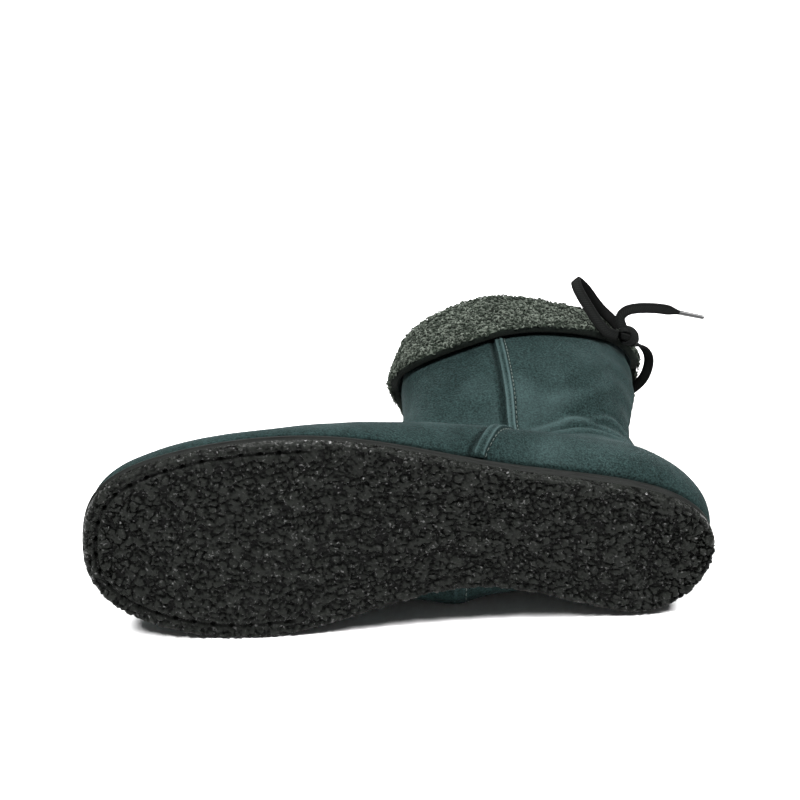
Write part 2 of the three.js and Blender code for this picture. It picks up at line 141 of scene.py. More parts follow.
# How many steps each stretch of the section is divided into, and which face of the cuff it is
CUFF_STEPS = (5, 26, 32, 9, 9, 9, 9, 6, 4, 5, 3, 8, 8, 8)
CUFF_FACES = ("pile",) * 8 + ("hide",) * 5 + ("edge",)
CUFF_EDGE = (142, 135, 124, 121, 125, 134, 140, 131, 128, 135)
CUFF_COLUMNS = 560
PILE_DEPTH = 1.1
# How much paler the pile's tops are than the painted shade between its strands
PILE_TONE = 0.75
NOTCH_HALF = 0.34
NOTCH_TOP = 152.0

# The lace
LACE_WIDTH = 4.8
LACE_THICK = 1.4
HOLE_HEIGHT = 147.0
OUTER_HOLE = 0.6
INNER_HOLE = -0.48
HOLE_RADIUS = 3.0
KNOT_CENTRE = np.array([16.8, 29.3, 136.3])
# The crossing's ring place from the back, rise over the holes and distance out from the upper
BAR_ROUTE = (
    (INNER_HOLE, 0, 2),
    (INNER_HOLE, 0, 5),
    (-0.3, 0, 5.2),
    (-0.08, -1, 7.2),
    (0.15, -1, 9.4),
    (0.38, 0, 10.2),
    (OUTER_HOLE, 0, 7),
    (OUTER_HOLE, 0, 2),
)
BAR_ACROSS = (0, 0, 1)
BAR_TWISTED = (1, 0, 0.7)
LOOP_ROUTE = (
    (22.2, 30.3, 134.3),
    (27.4, 31.8, 134.7),
    (32.1, 35.8, 138.4),
    (36.1, 40.2, 143.0),
    (39.8, 44.6, 148.6),
    (40.6, 46.4, 153.6),
    (39.4, 45.2, 156.9),
    (34.9, 41.6, 156.4),
    (30.6, 37.2, 152.8),
    (26.2, 33.8, 148.9),
    (22.6, 32.0, 144.8),
    (20.4, 30.5, 141.8),
)
LOOP_ACROSS = (-0.75, 0.62, 0.23)
END_ROUTE = (
    (19.7, 32.6, 138.3),
    (20.9, 36, 139.8),
    (18.9, 38.6, 141.5),
    (13.1, 39.9, 143),
    (2.2, 39.8, 143.8),
    (-7.5, 38.7, 142.6),
)
END_ACROSS = (0.72, 0.66, 0.2)
TIP_ROUTE = ((-6.9, 38.75, 142.7), (-12, 38.25, 142), (-18.2, 37.6, 141.2))
TIP_WIDTH = 2.2
TIP_THICK = 1.6

# The camera, fitted to the photograph's sole: angles in degrees, distance in metres
AZIMUTH = -7.0
ELEVATION = 30.95
TWIST = 0.64
DISTANCE = 1.25
PIXELS = 800
PIXELS_PER_METRE = 2421.0
TARGET = (132.0, 0.0, 0.0)
TARGET_PIXEL = (405.0, 549.0)
SENSOR = 36.0


# Shape of the boot
def smooth(start, end, x):
    t = np.clip((np.asarray(x, float) - start) / (end - start), 0, 1)
    return t * t * (3 - 2 * t)


def mix(a, b, t):
    return a + (b - a) * t


def bell(x, width):
    """1 in the middle, falling off smoothly over a width to both sides."""
    return np.exp(-((x / width) ** 2))


def angles_round(count):
    return np.arange(count) / count * 2 * np.pi


def unit(vectors):
    return vectors / np.linalg.norm(vectors, axis=-1, keepdims=True)


def turn_about(axis, angle):
    return np.array(Matrix.Rotation(angle, 3, axis))


# On its side, the toe points to minus X, the collar to plus Y and the outer side up
SIDE = np.array([[-1, 0, 0], [0, 0, 1], [0, 1, 0]])
LYING = turn_about("X", LIE_TILT) @ turn_about("Y", LIE_ROLL) @ SIDE


def to_row(points):
    """Boot frame in millimetres to the row frame in metres."""
    return (np.asarray(points, float) @ LYING.T + LIE_SHIFT) * MM


def tread_height(u):
    t = np.maximum((u - SPRING_FROM) / (SOLE_LENGTH - SPRING_FROM), 0)
    return SPRING_RISE * t * t


def crepe_top(u):
    return tread_height(u) + mix(CREPE_HEEL, CREPE_TOE, smooth(THIN_FROM, THIN_TO, u))


def sole_top(u):
    return crepe_top(u) + GAP + mix(MIDSOLE_HEEL, MIDSOLE_TOE, smooth(THIN_FROM, THIN_TO, u))


def spline_weights(places, count, closed):
    """Weights of the knots' values at each place, for the cubic spline through them."""
    places = np.asarray(places, float)
    first = np.floor(places).astype(int)
    if not closed:
        first = np.clip(first, 0, count - 2)
    t = places - first
    rest = 1 - t
    blend = np.stack([rest**3, 3 * t**3 - 6 * t**2 + 4, 3 * rest**3 - 6 * rest**2 + 4, t**3], -1) / 6
    rows = np.arange(len(places))
    system = np.eye(count) * 4 + np.roll(np.eye(count), 1, 1) + np.roll(np.eye(count), -1, 1)
    system /= 6
    if closed:
        controls = np.zeros((len(places), count))
        for k in range(4):
            np.add.at(controls, (rows, (first - 1 + k) % count), blend[:, k])
    else:
        padded = np.zeros((len(places), count + 2))
        for k in range(4):
            padded[rows, first + k] += blend[:, k]
        controls = padded[:, 1:-1].copy()
        controls[:, 0] += 2 * padded[:, 0]
        controls[:, 1] -= padded[:, 0]
        controls[:, -1] += 2 * padded[:, -1]
        controls[:, -2] -= padded[:, -1]
        system[0] = np.eye(count)[0]
        system[-1] = np.eye(count)[-1]
    return controls @ np.linalg.inv(system)


def run_along(line):
    """The distance from a line's start to each of its points."""
    steps = np.linalg.norm(np.diff(line, axis=0), axis=1)
    return np.concatenate([[0], np.cumsum(steps)])


def on_line(line, run, wanted):
    """Points of a line at wanted distances along it."""
    return np.stack([np.interp(wanted, run, column) for column in line.T], -1)


def spline_through(knots, steps):
    """Points of the smooth open curve through the knots."""
    knots = np.asarray(knots, float)
    places = np.linspace(0, len(knots) - 1, steps)
    return spline_weights(places, len(knots), False) @ knots


def ring_of(back, stations_outer, front, stations_inner):
    return np.array([back, *stations_outer, front, *stations_inner[::-1]])


def outline_net():
    along = np.array(STATION_ALONG) * SOLE_LENGTH
    half = np.array(STATION_HALF)
    mid = np.array(STATION_MID)
    u = ring_of(0, along, SOLE_LENGTH, along)
    v = ring_of(BACK_MID, mid + half, FRONT_MID, mid - half)
    return np.stack([u, v], -1)


OUTLINE_NET = outline_net()
SLOPE_STEP = 0.02


def outline_at(places, inset=0.0):
    """Points u, v of the sole's outline, moved inwards by inset."""
    places = np.asarray(places, float)
    points = spline_weights(places, RING_COUNT, True) @ OUTLINE_NET
    after = spline_weights(places + SLOPE_STEP, RING_COUNT, True) @ OUTLINE_NET
    before = spline_weights(places - SLOPE_STEP, RING_COUNT, True) @ OUTLINE_NET
    slope = unit(after - before)
    inward = np.stack([slope[:, 1], -slope[:, 0]], -1)
    return points + inward * np.reshape(inset, (-1, 1))


def upper_net():
    """The knots of the upper's outer face, level by level and round each ring."""
    along = ring_of(0, STATION_ALONG, 1, STATION_ALONG)
    mid = ring_of(BACK_MID, STATION_MID, FRONT_MID, STATION_MID)
    net = []
    for row in LEVEL_ROWS:
        half = ring_of(0, row[6:10], 0, -row[6:10] - row[11] * AT_WAIST)
        follow = row[10]
        u = mix(row[0], row[3], along)
        v = mix(row[1], row[4], along) + follow * mid + half
        chord = mix(sole_top(0.0), sole_top(SOLE_LENGTH), along)
        w = mix(row[2], row[5], along) + follow * (sole_top(u) - chord)
        net.append(np.stack([u, v, w], -1))
    return np.array(net)


UPPER_NET = upper_net()


def over_arch(points, places, reach):
    """1 in the middle of the inner side's slack, falling off along and up. The outer side has 0."""
    along = (points[:, 0] - SLACK_U) / reach
    up = (points[:, 2] - SLACK_W) / SLACK_UP
    return np.where(places % RING_COUNT > FRONT_PLACE, np.exp(-along ** 2 - up ** 2), 0)


def upper_points(places, levels):
    """Points of the upper's outer face. Its lowest level is fitted to the sole's top."""
    ring = spline_weights(places, RING_COUNT, True)
    rise = spline_weights(levels, TOP_LEVEL + 1, False)
    points = np.einsum("ni,nj,ijk->nk", rise, ring, UPPER_NET, optimize=True)
    lowest = ring @ UPPER_NET[0]
    wanted = sole_top(lowest[:, 0]) + GAP
    points[:, 2] += (wanted - lowest[:, 2]) * np.clip(1 - np.asarray(levels), 0, 1) ** 2
    slack = over_arch(points, np.asarray(places), SLACK_ALONG)
    points[:, 1] -= SLACK_HANG * slack * smooth(0, SLACK_LEVEL, levels)
    return points


def upper_normals(places, levels):
    low = np.maximum(levels - SLOPE_STEP, 0)
    high = np.minimum(levels + SLOPE_STEP, TOP_LEVEL)
    around = upper_points(places + SLOPE_STEP, levels) - upper_points(places - SLOPE_STEP, levels)
    up = upper_points(places, high) - upper_points(places, low)
    return unit(np.cross(up, around))


def over_upper(places, levels, out):
    """Points at a distance out from the upper's face. The three arrays have one shape."""
    shape = np.shape(places)
    flat_places = np.ravel(places)
    flat_levels = np.ravel(levels)
    points = upper_points(flat_places, flat_levels)
    points += upper_normals(flat_places, flat_levels) * np.reshape(out, (-1, 1))
    return points.reshape(*shape, 3)


SEARCH_STEPS = 201


def seam_place(levels):
    """The ring place of the outer side seam at each level."""
    wanted = mix(SEAM_LOW_U, SEAM_TOP_U, smooth(0, SEAM_BEND_LEVEL, levels))
    search = np.linspace(0, FRONT_PLACE, SEARCH_STEPS)
    found = []
    for level, target in zip(levels, wanted):
        u = upper_points(search, np.full(SEARCH_STEPS, level))[:, 0]
        found.append(np.interp(target, u, search))
    return np.array(found)


def level_at(places, heights):
    """The level at which the upper's face has a height, at each ring place."""
    search = np.linspace(0, TOP_LEVEL, SEARCH_STEPS)
    found = []
    for place, height in zip(places, heights):
        w = upper_points(np.full(SEARCH_STEPS, place), search)[:, 2]
        found.append(np.interp(height, w, search))
    return np.array(found)


def place_over(from_back, heights, out):
    places = np.asarray(from_back, float) % RING_COUNT
    levels = level_at(places, heights)
    return over_upper(places, levels, np.asarray(out, float))


# Meshes
def noise_at(points, size):
    return np.array([noise.noise(Vector(p)) for p in np.asarray(points) / size])


def noise_vectors(points, size):
    return np.array([noise.noise_vector(Vector(p)) for p in np.asarray(points) / size])


def grid_faces(rows, columns, wrap_rows=False, wrap_columns=False):
    r = np.arange(rows if wrap_rows else rows - 1)
    c = np.arange(columns if wrap_columns else columns - 1)
    r, c = np.meshgrid(r, c, indexing="ij")
    above = (r + 1) % rows
    beside = (c + 1) % columns
    corners = (r * columns + c, above * columns + c, above * columns + beside, r * columns + beside)
    return np.stack(corners, -1).reshape(-1, 4)


def tube_faces(rings, sides):
    """Faces of a tube with its two ends closed."""
    last = (rings - 1) * sides
    faces = grid_faces(rings, sides, False, True)[:, ::-1].tolist()
    return faces + [list(range(sides)), [last + k for k in reversed(range(sides))]]


def grid_normals(grid, wrap_rows, wrap_columns):
    def slope(axis, wrap):
        if wrap:
            return np.roll(grid, -1, axis) - np.roll(grid, 1, axis)
        return np.gradient(grid, axis=axis)

    return unit(np.cross(slope(0, wrap_rows), slope(1, wrap_columns)) + 1e-12)


def add_piece(name, points, faces, materials, replaces=(), face_materials=None, values=None):
    """A smooth mesh piece that rides on the boot. Points are in the boot frame."""
    places = to_row(np.reshape(points, (-1, 3)))
    places[:, 2] = np.maximum(places[:, 2], FLOOR_CLEAR)
    mesh = bpy.data.meshes.new(name)
    mesh.from_pydata(places.tolist(), [], [list(face) for face in faces])
    for material in materials:
        mesh.materials.append(material)
    if face_materials is not None:
        mesh.polygons.foreach_set("material_index", np.asarray(face_materials, np.int32))
    mesh.polygons.foreach_set("use_smooth", np.ones(len(mesh.polygons), bool))
    for key, numbers in (values or {}).items():
        layer = mesh.attributes.new(key, "FLOAT", "POINT")
        layer.data.foreach_set("value", np.ravel(numbers).astype(np.float32))
    mesh.update()
    piece = bpy.data.objects.new(name, mesh)
    bpy.context.scene.collection.objects.link(piece)
    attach(piece, "root")
    if replaces:
        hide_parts(*replaces)
    return piece


# Camera, light and floor
def make_camera():
    a, e, t = (math.radians(x) for x in (AZIMUTH, ELEVATION, TWIST))
    back = Vector((math.sin(a) * math.cos(e), -math.cos(a) * math.cos(e), math.sin(e)))
    right = Vector((math.cos(a), math.sin(a), 0))
    up = back.cross(right)
    right, up = math.cos(t) * right + math.sin(t) * up, math.cos(t) * up - math.sin(t) * right
    x = (TARGET_PIXEL[0] - PIXELS / 2) / PIXELS_PER_METRE
    y = (PIXELS / 2 - TARGET_PIXEL[1]) / PIXELS_PER_METRE
    spot = Vector(to_row([TARGET])[0]) - x * right - y * up + DISTANCE * back
    data = bpy.data.cameras.new("camera")
    data.sensor_width = SENSOR
    data.lens = SENSOR * PIXELS_PER_METRE * DISTANCE / PIXELS
    camera = bpy.data.objects.new("camera", data)
    camera.matrix_world = Matrix.Translation(spot) @ Matrix((right, up, back)).transposed().to_4x4()
    bpy.context.scene.collection.objects.link(camera)
    bpy.context.scene.camera = camera


def make_light(name, place, watts):
    data = bpy.data.lights.new(name, "AREA")
    data.shape = "DISK"
    data.size = LAMP_SIZE
    data.energy = watts
    light = bpy.data.objects.new(name, data)
    light.location = place
    light.rotation_mode = "QUATERNION"
    light.rotation_quaternion = (-Vector(place)).to_track_quat("-Z", "Y")
    bpy.context.scene.collection.objects.link(light)


# The lamps' places in metres and watts. All of them face the boot.
LAMPS = (
    ("left", (-0.9, -0.4, 1.3), 39),
    ("right", (0.9, -0.4, 1.3), 39),
    ("back", (0.0, 0.9, 1.0), 16),
)
LAMP_SIZE = 0.4
WORLD_STRENGTH = 0.1
FLOOR_HALF = 4.0
FLOOR_COLOUR = (0.9, 0.9, 0.9, 1)


def make_stage():
    scene = bpy.context.scene
    scene.view_settings.view_transform = "Standard"
    world = bpy.data.worlds.new("studio")
    world.use_nodes = True
    world.node_tree.nodes["Background"].inputs["Color"].default_value = (1, 1, 1, 1)
    world.node_tree.nodes["Background"].inputs["Strength"].default_value = WORLD_STRENGTH
    scene.world = world
    for lamp in LAMPS:
        make_light(*lamp)
    corners = [(-FLOOR_HALF, -FLOOR_HALF, 0), (FLOOR_HALF, -FLOOR_HALF, 0)]
    corners += [(FLOOR_HALF, FLOOR_HALF, 0), (-FLOOR_HALF, FLOOR_HALF, 0)]
    mesh = bpy.data.meshes.new("floor")
    mesh.from_pydata(corners, [], [(0, 1, 2, 3)])
    material = bpy.data.materials.new("floor")
    material.use_nodes = True
    shader = material.node_tree.nodes["Principled BSDF"]
    shader.inputs["Base Color"].default_value = FLOOR_COLOUR
    shader.inputs["Roughness"].default_value = 0.9
    mesh.materials.append(material)
    floor = bpy.data.objects.new("floor", mesh)
    scene.collection.objects.link(floor)


# Materials
NOISE_LOW = 0.3
NOISE_HIGH = 0.7


class Paint:
    """A node material with short calls for its nodes."""

    def __init__(self, name, **sockets):
        self.material = bpy.data.materials.new(name)
        self.material.use_nodes = True
        self.tree = self.material.node_tree
        self.shader = self.tree.nodes["Principled BSDF"]
        for socket, value in sockets.items():
            self.shader.inputs[socket.replace("_", " ")].default_value = value
        self.coordinates = self.add("ShaderNodeTexCoord").outputs["Object"]

    def add(self, kind, inputs=None, **settings):
        node = self.tree.nodes.new(kind)
        for key, value in settings.items():
            setattr(node, key, value)
        for key, value in (inputs or {}).items():
            self.put(value, node.inputs[key])
        return node

    def put(self, value, socket):
        if isinstance(value, bpy.types.NodeSocket):
            self.tree.links.new(value, socket)
        else:
            socket.default_value = value

    def noise(self, size, detail=3.0, roughness=0.55, stretch=None):
        """Noise whose features have a size in millimetres."""
        where = self.coordinates
        if stretch:
            where = self.add("ShaderNodeMapping", {"Vector": where, "Scale": stretch}).outputs["Vector"]
        inputs = {"Vector": where, "Scale": 1 / (size * MM), "Detail": detail, "Roughness": roughness}
        return self.add("ShaderNodeTexNoise", inputs).outputs["Fac"]

    def value(self, key):
        return self.add("ShaderNodeAttribute", attribute_name=key).outputs["Fac"]

    def ramp(self, factor, *stops):
        """Colours or greys along a factor, each stop a place and a colour."""
        node = self.add("ShaderNodeValToRGB", {"Fac": factor})
        elements = node.color_ramp.elements
        while len(elements) < len(stops):
            elements.new(1.0)
        for element, (place, colour) in zip(elements, stops):
            element.position = place
            element.color = (*colour, 1) if np.ndim(colour) else (colour, colour, colour, 1)
        return node.outputs["Color"]

    def spread(self, factor, low, high):
        """From low to high over the range that noise mostly has."""
        return self.ramp(factor, (NOISE_LOW, low), (NOISE_HIGH, high))

    def mottle(self, colour, amount, factor, low, high=1.0):
        return self.blend("MULTIPLY", amount, colour, self.spread(factor, low, high))

    def blend(self, kind, factor, first, second):
        node = self.add("ShaderNodeMix", data_type="RGBA", blend_type=kind)
        for value, index in ((factor, 0), (first, 6), (second, 7)):
            self.put(value, node.inputs[index])
        return node.outputs[2]

    def bump(self, height, depth, strength=1.0, after=None):
        inputs = {"Height": height, "Distance": depth * MM, "Strength": strength}
        if after:
            inputs["Normal"] = after
        return self.add("ShaderNodeBump", inputs).outputs["Normal"]

    def finish(self, colour, roughness=None, normal=None):
        self.put(colour, self.shader.inputs["Base Color"])
        if roughness:
            self.put(roughness, self.shader.inputs["Roughness"])
        if normal:
            self.put(normal, self.shader.inputs["Normal"])
        return self.material


def suede_material():
    paint = Paint("suede", Sheen_Weight=0.08, Sheen_Roughness=0.3, Specular_IOR_Level=0.03)
    paint.shader.inputs["Sheen Tint"].default_value = (0.62, 0.78, 0.8, 1)
    patches = paint.noise(26, 4, 0.6)
    colour = paint.spread(patches, (0.0105, 0.0205, 0.02), (0.0155, 0.0285, 0.0277))
    brushed = paint.noise(3.2, 3, 0.6, (1, 0.35, 1))
    colour = paint.mottle(colour, 0.55, brushed, 0.55)
    nap = paint.noise(0.8, 2, 0.7)
    colour = paint.blend("MULTIPLY", 1.0, colour, paint.ramp(nap, (0.36, 0.35), (0.64, 1.5)))
    # The painted_light value is painted light: below 0.5 it darkens the suede as painted shade, above 0.5 it
    # pales it towards a pale teal as painted highlight
    painted_light = paint.value("painted_light")
    dark = paint.ramp(painted_light, (0.0, 0.25), (0.5, 1.0))
    colour = paint.blend("MULTIPLY", 1.0, colour, dark)
    pale = paint.ramp(painted_light, (0.5, 0.0), (1.0, 1.0))
    colour = paint.blend("MIX", pale, colour, (0.11, 0.17, 0.17, 1))
    normal = paint.bump(nap, 0.6, 0.9)
    normal = paint.bump(brushed, 0.4, 0.3, normal)
    return paint.finish(colour, paint.spread(nap, 0.82, 1.0), normal)


def crepe_material():
    paint = Paint("crepe", Specular_IOR_Level=0.1)
    height = paint.value("height")
    glints = paint.ramp(paint.noise(1.5, 2, 0.6), (0.615, 0.05), (0.705, 0.85))
    paint.put(glints, paint.shader.inputs["Specular IOR Level"])
    # The height value paints the colour dark in the cracks, the stitch channel and its holes, as painted
    # shade
    colour = paint.ramp(height, (0.0, (0.0015, 0.0016, 0.0014)), (0.4, (0.0092, 0.0101, 0.009)),
                        (1.0, (0.0133, 0.0146, 0.0129)))
    stains = paint.noise(14, 4, 0.6)
    colour = paint.mottle(colour, 0.4, stains, 0.6)
    grain = paint.noise(0.5, 4, 0.7)
    roughness = paint.spread(paint.noise(2.2, 3, 0.6), 0.18, 0.36)
    normal = paint.bump(grain, 0.18, 0.7)
    normal = paint.bump(paint.noise(1.6, 2, 0.5), 0.7, 0.8, normal)
    return paint.finish(colour, roughness, normal)


def midsole_material():
    paint = Paint("midsole", Specular_IOR_Level=0.08)
    lines = paint.noise(0.7, 3, 0.6, (0.06, 1, 0.06))
    colour = paint.spread(lines, (0.007, 0.0075, 0.007), (0.015, 0.0165, 0.015))
    stains = paint.noise(9, 4, 0.65)
    colour = paint.mottle(colour, 0.7, stains, 0.55)
    normal = paint.bump(lines, 0.2, 0.6)
    return paint.finish(colour, paint.spread(stains, 0.5, 0.72), normal)


def fleece_material():
    paint = Paint("fleece", Sheen_Weight=0.05, Sheen_Roughness=0.5, Specular_IOR_Level=0.04)
    # The tone value carries painted light: painted shade between the strands and at the curls' feet, paler on
    # the tops, beside each curl's own random tone
    tone = paint.value("tone")
    colour = paint.ramp(tone, (0.0, (0.002, 0.003, 0.002)), (0.45, (0.024, 0.033, 0.024)),
                        (1.0, (0.18, 0.205, 0.172)))
    flecks = paint.noise(0.8, 3, 0.7)
    colour = paint.mottle(colour, 0.75, flecks, 0.4)
    patches = paint.noise(11, 3, 0.6)
    colour = paint.mottle(colour, 0.5, patches, 0.6)
    normal = paint.bump(flecks, 0.4, 0.8)
    return paint.finish(colour, paint.spread(flecks, 0.88, 1.0), normal)


def hide_material(name, low, high):
    """The bare hide of the cuff: its turned-in face and its cut edge."""
    paint = Paint(name, Sheen_Weight=0.03, Sheen_Roughness=0.5, Specular_IOR_Level=0.04)
    fibres = paint.noise(0.6, 4, 0.7)
    colour = paint.spread(fibres, low, high)
    normal = paint.bump(fibres, 0.5, 0.8)
    return paint.finish(colour, paint.spread(fibres, 0.85, 1.0), normal)


def thread_material():
    paint = Paint("seam_thread", Specular_IOR_Level=0.1)
    twist = paint.noise(0.4, 2, 0.6)
    colour = paint.spread(twist, (0.042, 0.06, 0.055), (0.135, 0.16, 0.15))
    normal = paint.bump(twist, 0.15, 0.6)
    return paint.finish(colour, paint.spread(twist, 0.62, 0.85), normal)


def lace_material():
    paint = Paint("lace", Sheen_Weight=0.01, Sheen_Roughness=0.4, Specular_IOR_Level=0.05)
    # The tone value is painted light: dark in the braid's grooves, pale on its raised ribs and along the
    # edges
    tone = paint.value("tone")
    colour = paint.ramp(tone, (0.0, (0.002, 0.002, 0.002)), (0.6, (0.006, 0.0066, 0.0063)),
                        (1.0, (0.03, 0.032, 0.031)))
    fibres = paint.noise(0.35, 3, 0.7)
    colour = paint.mottle(colour, 0.6, fibres, 0.45)
    normal = paint.bump(fibres, 0.12, 0.6)
    return paint.finish(colour, paint.spread(fibres, 0.6, 0.85), normal)


def tip_material():
    paint = Paint("lace_tip", Specular_IOR_Level=0.6, Coat_Weight=0.4, Coat_Roughness=0.15)
    # The tone value paints two pale highlight lines on the lapped edges
    tone = paint.value("tone")
    colour = paint.ramp(tone, (0.0, (0.008, 0.008, 0.009)), (1.0, (0.2, 0.2, 0.2)))
    scratches = paint.noise(0.5, 3, 0.6, (0.2, 1, 1))
    return paint.finish(colour, paint.spread(scratches, 0.22, 0.42))


SUEDE = suede_material()
CREPE = crepe_material()
MIDSOLE = midsole_material()
FLEECE = fleece_material()
HIDE = hide_material("hide", (0.012, 0.022, 0.022), (0.03, 0.048, 0.047))
CUT_EDGE = hide_material("cut_edge", (0.0022, 0.0034, 0.0028), (0.009, 0.0122, 0.0098))
SEAM_THREAD = thread_material()
LACE = lace_material()
LACE_TIP = tip_material()

make_camera()
make_stage()

# Lace
BRAID_PITCH = 1.15
BRAID_RELIEF = 0.11
STRIP_SIDES = 28
STRIP_STEP = 0.3
STRIP_SQUARE = 3.2
ROUTE_STEPS = 400


def strip_section():
    """A flat strip's section: across and through, from -1 to 1, with round edges."""
    angle = angles_round(STRIP_SIDES)
    c, s = np.cos(angle), np.sin(angle)
    x = np.sign(c) * np.abs(c) ** (2 / STRIP_SQUARE)
    y = np.sign(s) * np.abs(s) ** (2 / STRIP_SQUARE)
    return x, y


def strip_frame(centres, across, closed=False):
    """Directions across a strip and out of its face, at each of its centres."""
    if closed:
        along = np.roll(centres, -1, 0) - np.roll(centres, 1, 0)
    else:
        along = np.gradient(centres, axis=0)
    along = unit(along)
    face = unit(np.cross(along, np.broadcast_to(across, centres.shape)))
    return unit(np.cross(face, along)), face


def braided_strip(centres, across, width, thick, closed=False):
    """Points, faces and tones of a braided flat strip along the centres, with painted light on the braid in
    its tones. Width may change along it.
    """
    wide, face = strip_frame(centres, across, closed)
    run = run_along(centres)[:, None]
    x, y = strip_section()
    width = np.broadcast_to(width, (len(centres),))[:, None]
    braid = np.abs(np.sin(np.pi * (run / BRAID_PITCH + np.abs(x) * 1.3)))
    ribs = 0.5 + 0.5 * np.cos(x * np.pi * 5)
    relief = (0.65 * braid + 0.35 * ribs) * np.abs(y) ** 0.5
    flat = y * (thick / 2 - BRAID_RELIEF) + np.sign(y) * BRAID_RELIEF * relief
    points = centres[:, None] + wide[:, None] * (x * width / 2)[..., None] + face[:, None] * flat[..., None]
    if closed:
        faces = grid_faces(len(centres), STRIP_SIDES, True, True)[:, ::-1].tolist()
    else:
        faces = tube_faces(len(centres), STRIP_SIDES)
    # Painted light: paler on the raised braid and ribs as painted highlight, darker in their grooves as
    # painted shade; paler along both edges too
    edge = smooth(0.86, 1.0, np.abs(x)) * 0.35
    tone = np.clip(0.15 + 0.6 * relief + edge, 0, 1)
    return points, faces, tone


def strip_route(knots):
    rough = spline_through(knots, ROUTE_STEPS)
    run = run_along(rough)
    wanted = np.linspace(0, run[-1], int(run[-1] / STRIP_STEP) + 1)
    return on_line(rough, run, wanted), run[-1]


def make_crossing():
    places, rises, outs = (np.array(column, float) for column in zip(*BAR_ROUTE))
    route, _ = strip_route(place_over(places, HOLE_HEIGHT + rises, outs))
    along = np.linspace(0, 1, len(route))
    twist = smooth(0.1, 0.35, along) * smooth(0.95, 0.75, along)
    across = mix(np.array(BAR_ACROSS), np.array(BAR_TWISTED), twist[:, None])
    points, faces, tone = braided_strip(route, across, LACE_WIDTH, LACE_THICK)
    add_piece("lace_crossing", points, faces, [LACE], ["lace_bar"], values={"tone": tone})


# The knot's wraps: axis, radius along two directions, width of the strand
KNOT_WRAPS = (
    ((0.86, 0.3, -0.28), 3.9, 3.3, 4.2),
    ((-0.35, 0.25, 0.9), 3.6, 3.0, 3.8),
    ((0.2, 0.95, 0.1), 3.7, 2.8, 3.4),
    ((-0.35, 0.25, 0.9), 1.8, 1.5, 3.6),
)
KNOT_STEPS = 64
KNOT_SWAY = 0.5
# The knot is drawn out towards the crossing
KNOT_LEAN = np.array([-0.758, -0.49, -0.429])
KNOT_LONG = 1.4
KNOT_SLIM = 0.9


def make_knot():
    points, faces, tones = [], [], []
    for axis, wide, high, width in KNOT_WRAPS:
        axis = unit(np.array(axis))
        first = unit(np.cross(axis, (0.1, 0.2, 1.0)))
        second = np.cross(axis, first)
        angle = angles_round(KNOT_STEPS)
        sway = KNOT_SWAY * np.sin(2 * angle)
        ring = np.outer(np.cos(angle) * wide, first) + np.outer(np.sin(angle) * high, second)
        ring += np.outer(sway, axis)
        lengthwise = np.outer(ring @ KNOT_LEAN, KNOT_LEAN)
        ring = KNOT_CENTRE + KNOT_SLIM * (ring - lengthwise) + KNOT_LONG * lengthwise
        made, quads, tone = braided_strip(ring, axis, width, LACE_THICK, True)
        faces += (np.array(quads) + sum(len(p) for p in points)).tolist()
        points.append(made.reshape(-1, 3))
        tones.append(tone.ravel())
    points = np.concatenate(points)
    values = {"tone": np.concatenate(tones)}
    return add_piece("lace_knot_wraps", points, faces, [LACE], ["lace_knot"], values=values)


# The loop's leg that comes back is in the other leg's shadow
RETURN_TONE = 0.25


def make_loop(knot):
    route, length = strip_route(LOOP_ROUTE)
    points, faces, tone = braided_strip(route, LOOP_ACROSS, LACE_WIDTH, LACE_THICK)
    returning = smooth(0.5, 0.62, np.linspace(0, 1, len(route)))
    tone = tone * mix(1.0, RETURN_TONE, returning)[:, None]
    loop = add_piece("lace_bow_loop", points, faces, [LACE], ["lace_loop"], values={"tone": tone})


TIP_RINGS = 40
TIP_SIDES = 24
TIP_LAPS = (0.75, -0.35)
TIP_LAP_HALF = 0.12
END_TAPER = 7.0


def make_tip():
    """The crimped tip: a film rolled round the lace, with its two lapped edges raised along it and painted
    pale as highlight lines.
    """
    route = spline_through(TIP_ROUTE, TIP_RINGS)
    wide, face = strip_frame(route, END_ACROSS)
    t = np.linspace(0, 1, TIP_RINGS)
    size = mix(1.0, 0.86, t) * np.minimum(1, smooth(1.0, 0.97, t) * 0.5 + 0.5)
    angle = angles_round(TIP_SIDES)
    lap = sum(bell(np.sin(angle) - place, TIP_LAP_HALF) for place in TIP_LAPS)
    grow = 1 + 0.08 * lap
    x = np.cos(angle) * TIP_WIDTH / 2 * grow
    y = np.sin(angle) * TIP_THICK / 2 * grow
    points = route[:, None] + (wide[:, None] * x[:, None] + face[:, None] * y[:, None]) * size[:, None, None]
    faces = tube_faces(TIP_RINGS, TIP_SIDES)
    # Painted highlight: the lapped edges are painted pale
    tone = np.broadcast_to(np.clip(lap, 0, 1), (TIP_RINGS, TIP_SIDES))
    values = {"tone": tone}
    return add_piece("lace_tip_film", points, faces, [LACE_TIP], ["lace_tip"], values=values)


def make_end(tip):
    route, length = strip_route(END_ROUTE)
    left = np.linspace(length, 0, len(route))
    width = mix(TIP_WIDTH * 0.9, LACE_WIDTH, smooth(0, END_TAPER, left))
    points, faces, tone = braided_strip(route, END_ACROSS, width, LACE_THICK)
    end = add_piece("lace_free_end", points, faces, [LACE], ["lace_end"], values={"tone": tone})


make_crossing()
make_loop(make_knot())
make_end(make_tip())

# Upper
BACK_COLUMNS = 62
SEAM_COLUMNS = 44
FRONT_COLUMNS = 96
OUTER_ROWS = 150
INNER_ROWS = 36
